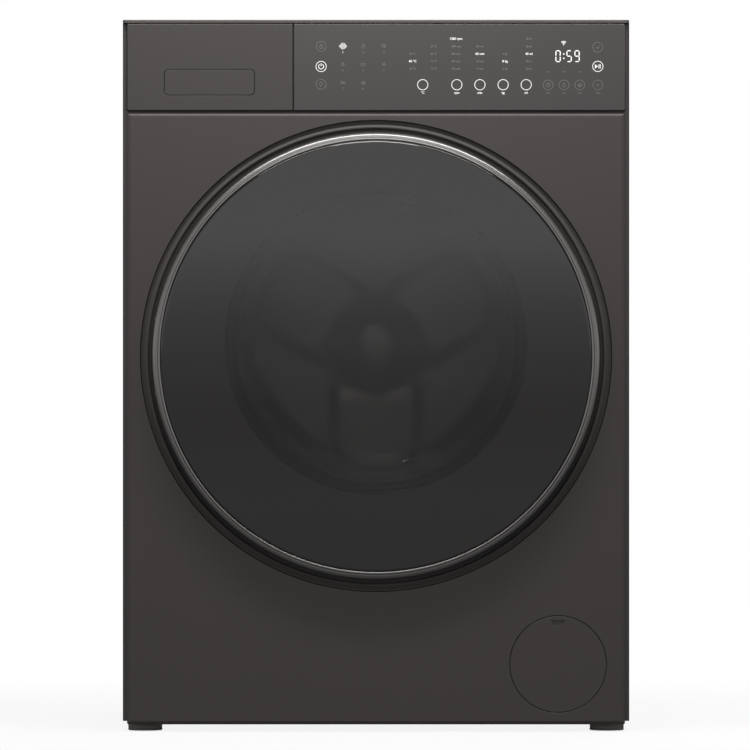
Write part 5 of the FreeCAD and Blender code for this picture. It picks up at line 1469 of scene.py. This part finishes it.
def lit_icon(x, z):
    """Bold programme icon: three nested diamonds."""
    shapes = []
    for size in (3.9, 2.5, 1.1):
        shapes.append(stroke([(-size, 0.0), (0.0, size), (size, 0.0), (0.0, -size)], 0.00045, True)(x, z))
    shapes.append(stroke([(1.9, 3.4), (5.2, 0.0), (1.9, -3.4)], 0.00045)(x, z))
    return shapes


def make_lit_marks():
    """Everything that shines through the glass: the power key, the set values and the five option keys."""
    shapes = [key_ring(POWER_X, 0.7877), key_ring(START_X, 0.7878)]
    shapes.append(stroke(arc_points(3.0, 125.0, 415.0, 24), 0.0008)(POWER_X, 0.7877))
    shapes.append(stroke([(0.0, 0.6), (0.0, 3.9)], 0.0008)(POWER_X, 0.7877))
    play = [(START_X - 0.0034, 0.7878 - 0.0026), (START_X - 0.0034, 0.7878 + 0.0026),
            (START_X + 0.0002, 0.7878)]
    shapes.append(prism(play, MARK_Y, MARK_Y + MARK_T, "y"))
    for offset in (1.3, 2.9):
        shapes.append(stroke([(offset, -2.5), (offset, 2.5)], 0.0008)(START_X, 0.7878))
    shapes += lit_icon(PROGRAMME_X[0] - 0.0004, PROGRAMME_Z[0])
    shapes.append(number("1", PROGRAMME_X[0], PROGRAMME_Z[0] - 0.0072, 0.0025))
    for x, label in zip(KEY_COLUMNS, ("\u00b0C", "rpm", "min", "kg", "ml")):
        shapes.append(key_ring(x, KEY_ROW))
        shapes.append(number(label, x, LABEL_ROW, 0.0028))
    for text, x, row in (("40 \u00b0C", 0.0433, 3), ("1200 rpm", 0.0947, 0), ("60 min", 0.1230, 2),
                         ("8 kg", 0.1527, 3), ("40 ml", 0.1811, 2)):
        shapes.append(number(text, x, OPTION_ROWS[row], 0.0028))
    wireless = (0.2222, 0.8135)
    for radius in (1.4, 2.7, 4.0):
        shapes.append(stroke(arc_points(radius, 45.0, 135.0, 10), 0.0007)(*wireless))
    shapes.append(prism(outline_circle(wireless[0], wireless[1], 0.0006, 16), MARK_Y, MARK_Y + MARK_T, "y"))
    place_mesh("marks_lit", merge("marks_lit", shapes), LIT, "root")


def make_dim_marks():
    """Print that stays dark: the other programmes, values and keys."""
    shapes = []
    for x, z, strokes in ((POWER_X, 0.8116, ICON_LOCK), (POWER_X, 0.7666, ICON_BULB),
                          (START_X, 0.8105, ICON_TICK)):
        shapes.append(key_ring(x, z, 0.0058, 0.0005))
        shapes += icon(strokes, x, z)
    programmes = ((1, 0, ICON_DROP), (2, 0, ICON_SHEETS), (0, 1, ICON_SUN), (1, 1, ICON_BASIN),
                  (2, 1, ICON_FLAKE), (0, 2, ICON_WAVE), (1, 2, ICON_SPIRAL))
    for order, (column, row, strokes) in enumerate(programmes):
        shapes += icon(strokes, PROGRAMME_X[column], PROGRAMME_Z[row])
        shapes.append(number(str(order + 2), PROGRAMME_X[column], PROGRAMME_Z[row] - 0.0072))
    values = ((0.0433, ((2, "20 \u00b0C"), (4, "60 \u00b0C"))),
              (0.0684, ((1, "30 \u00b0C"), (2, "50 \u00b0C"), (3, "75 \u00b0C"), (4, "90 \u00b0C"))),
              (0.0947, ((1, "1000 rpm"), (2, "800 rpm"), (3, "600 rpm"), (4, "400 rpm"))),
              (0.1230, ((1, "90 min"), (3, "30 min"), (4, "15 min"))),
              (0.1527, ((2, "4 kg"), (4, "6 kg"))),
              (0.1811, ((0, "20 ml"), (1, "30 ml"), (3, "50 ml"), (4, "60 ml"))))
    for x, column in values:
        for row, text in column:
            shapes.append(number(text, x, OPTION_ROWS[row]))
    for x, strokes in ((0.2039, ICON_CLOCK), (0.2226, ICON_DROP), (0.2412, ICON_SPIRAL),
                       (0.2626, ICON_PLUS)):
        shapes.append(key_ring(x, 0.7658, 0.0058, 0.0005))
        shapes += icon(strokes, x, 0.7658)
    for x, text in ((0.2039, "3 h"), (0.2226, "6 h"), (0.2412, "9 h"), (0.2626, "12 h")):
        shapes.append(number(text, x, 0.7562))
    for x in (0.2041, 0.2226, 0.2419):
        shapes.append(stroke([(-1.8, 0.0), (1.8, 0.0)], 0.0006)(x, 0.7813))
    place_mesh("marks_dim", merge("marks_dim", shapes), DIM, "root")


SEGMENTS = {"0": "abcdef", "5": "acdfg", "9": "abcdfg"}


def segment_bar(start, end, width):
    """One display segment with pointed ends."""
    low = Vector(start)
    high = Vector(end)
    along = (high - low).normalized()
    across = Vector((-along.y, along.x)) * width / 2.0
    tip = along * width / 2.0
    points = [low, low + tip + across, high - tip + across, high, high - tip - across, low + tip - across]
    return prism([(p.x, p.y) for p in points], MARK_Y, MARK_Y + MARK_T, "y")


def make_display():
    """Remaining time in seven-segment figures."""
    wide = 0.0051
    tall = 0.0064
    width = 0.00125
    gap = 0.00035
    centre_z = 0.7999
    shapes = []
    for left, figure in ((0.2130, "0"), (0.2261, "5"), (0.2355, "9")):
        right = left + wide
        top = centre_z + tall
        low = centre_z - tall
        bars = {"a": ((left + gap, top), (right - gap, top)),
                "b": ((right, centre_z + gap), (right, top - gap)),
                "c": ((right, low + gap), (right, centre_z - gap)),
                "d": ((left + gap, low), (right - gap, low)),
                "e": ((left, low + gap), (left, centre_z - gap)),
                "f": ((left, centre_z + gap), (left, top - gap)),
                "g": ((left + gap, centre_z), (right - gap, centre_z))}
        for name in SEGMENTS[figure]:
            shapes.append(segment_bar(*bars[name], width))
    for z in (centre_z - 0.0026, centre_z + 0.0026):
        shapes.append(prism(outline_circle(0.2223, z, 0.0009, 20), MARK_Y, MARK_Y + MARK_T, "y"))
    place_mesh("time_display", merge("time_display", shapes), LIT, "root")


make_studio()
make_cabinet()
make_rear_hatch()
make_hatch_screws()
make_top()
make_feet()
make_springs()
make_bellows("dispenser_bellows", "dispenser_hose")
make_bellows("sump_bellows", "sump_hose")
make_front_panel()
make_surround()
make_trim_ring()
make_door_glass()
make_door_bowl()
make_door_back()
make_door_screws()
make_gasket()
make_drum_wall()
make_drum_back()
make_drum_mouth()
make_paddles()
make_drawer_face()
make_flap()
make_console_glass()
make_filter_cover()
make_lit_marks()
make_dim_marks()
make_display()

CAD_FINISHES = {
    "base_tray": DARK_PLASTIC, "foot_locknuts": ZINC, "transit_bolt_caps": DARK_PLASTIC,
    "console_frame": SHADOW_PLASTIC, "control_module": WHITE_PLASTIC, "main_board_box": GREY_PLASTIC,
    "dispenser_housing": GREY_PLASTIC, "drawer_tray": GREY_PLASTIC, "inlet_valves": WHITE_PLASTIC,
    "inlet_hoses": BLACK_RUBBER, "door_lock": DARK_PLASTIC, "hinge_bracket": GALVANISED,
    "door_hinge_leaf": CAST, "door_frame": DARK_PLASTIC, "door_hook": ZINC, "gasket_outer_clamp": ZINC,
    "tub_front": TUB_PLASTIC, "tub_rear": TUB_PLASTIC, "drum_bearings": ZINC, "shaft_seal": BLACK_RUBBER,
    "gasket_inner_clamp": ZINC, "counterweights": CONCRETE, "heater": ZINC, "stator": COPPER,
    "damper_rods": ZINC, "damper_cylinders": DARK_PLASTIC, "spider_shaft": CAST, "rotor": GALVANISED,
    "pump_housing": DARK_PLASTIC, "filter_cap": DARK_PLASTIC, "pump_impeller": GREY_PLASTIC,
    "drain_tube": GREY_PLASTIC, "cord_gland": DARK_PLASTIC, }
for node, finish in CAD_FINISHES.items():
    for material_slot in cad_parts[node].material_slots:
        material_slot.material = finish
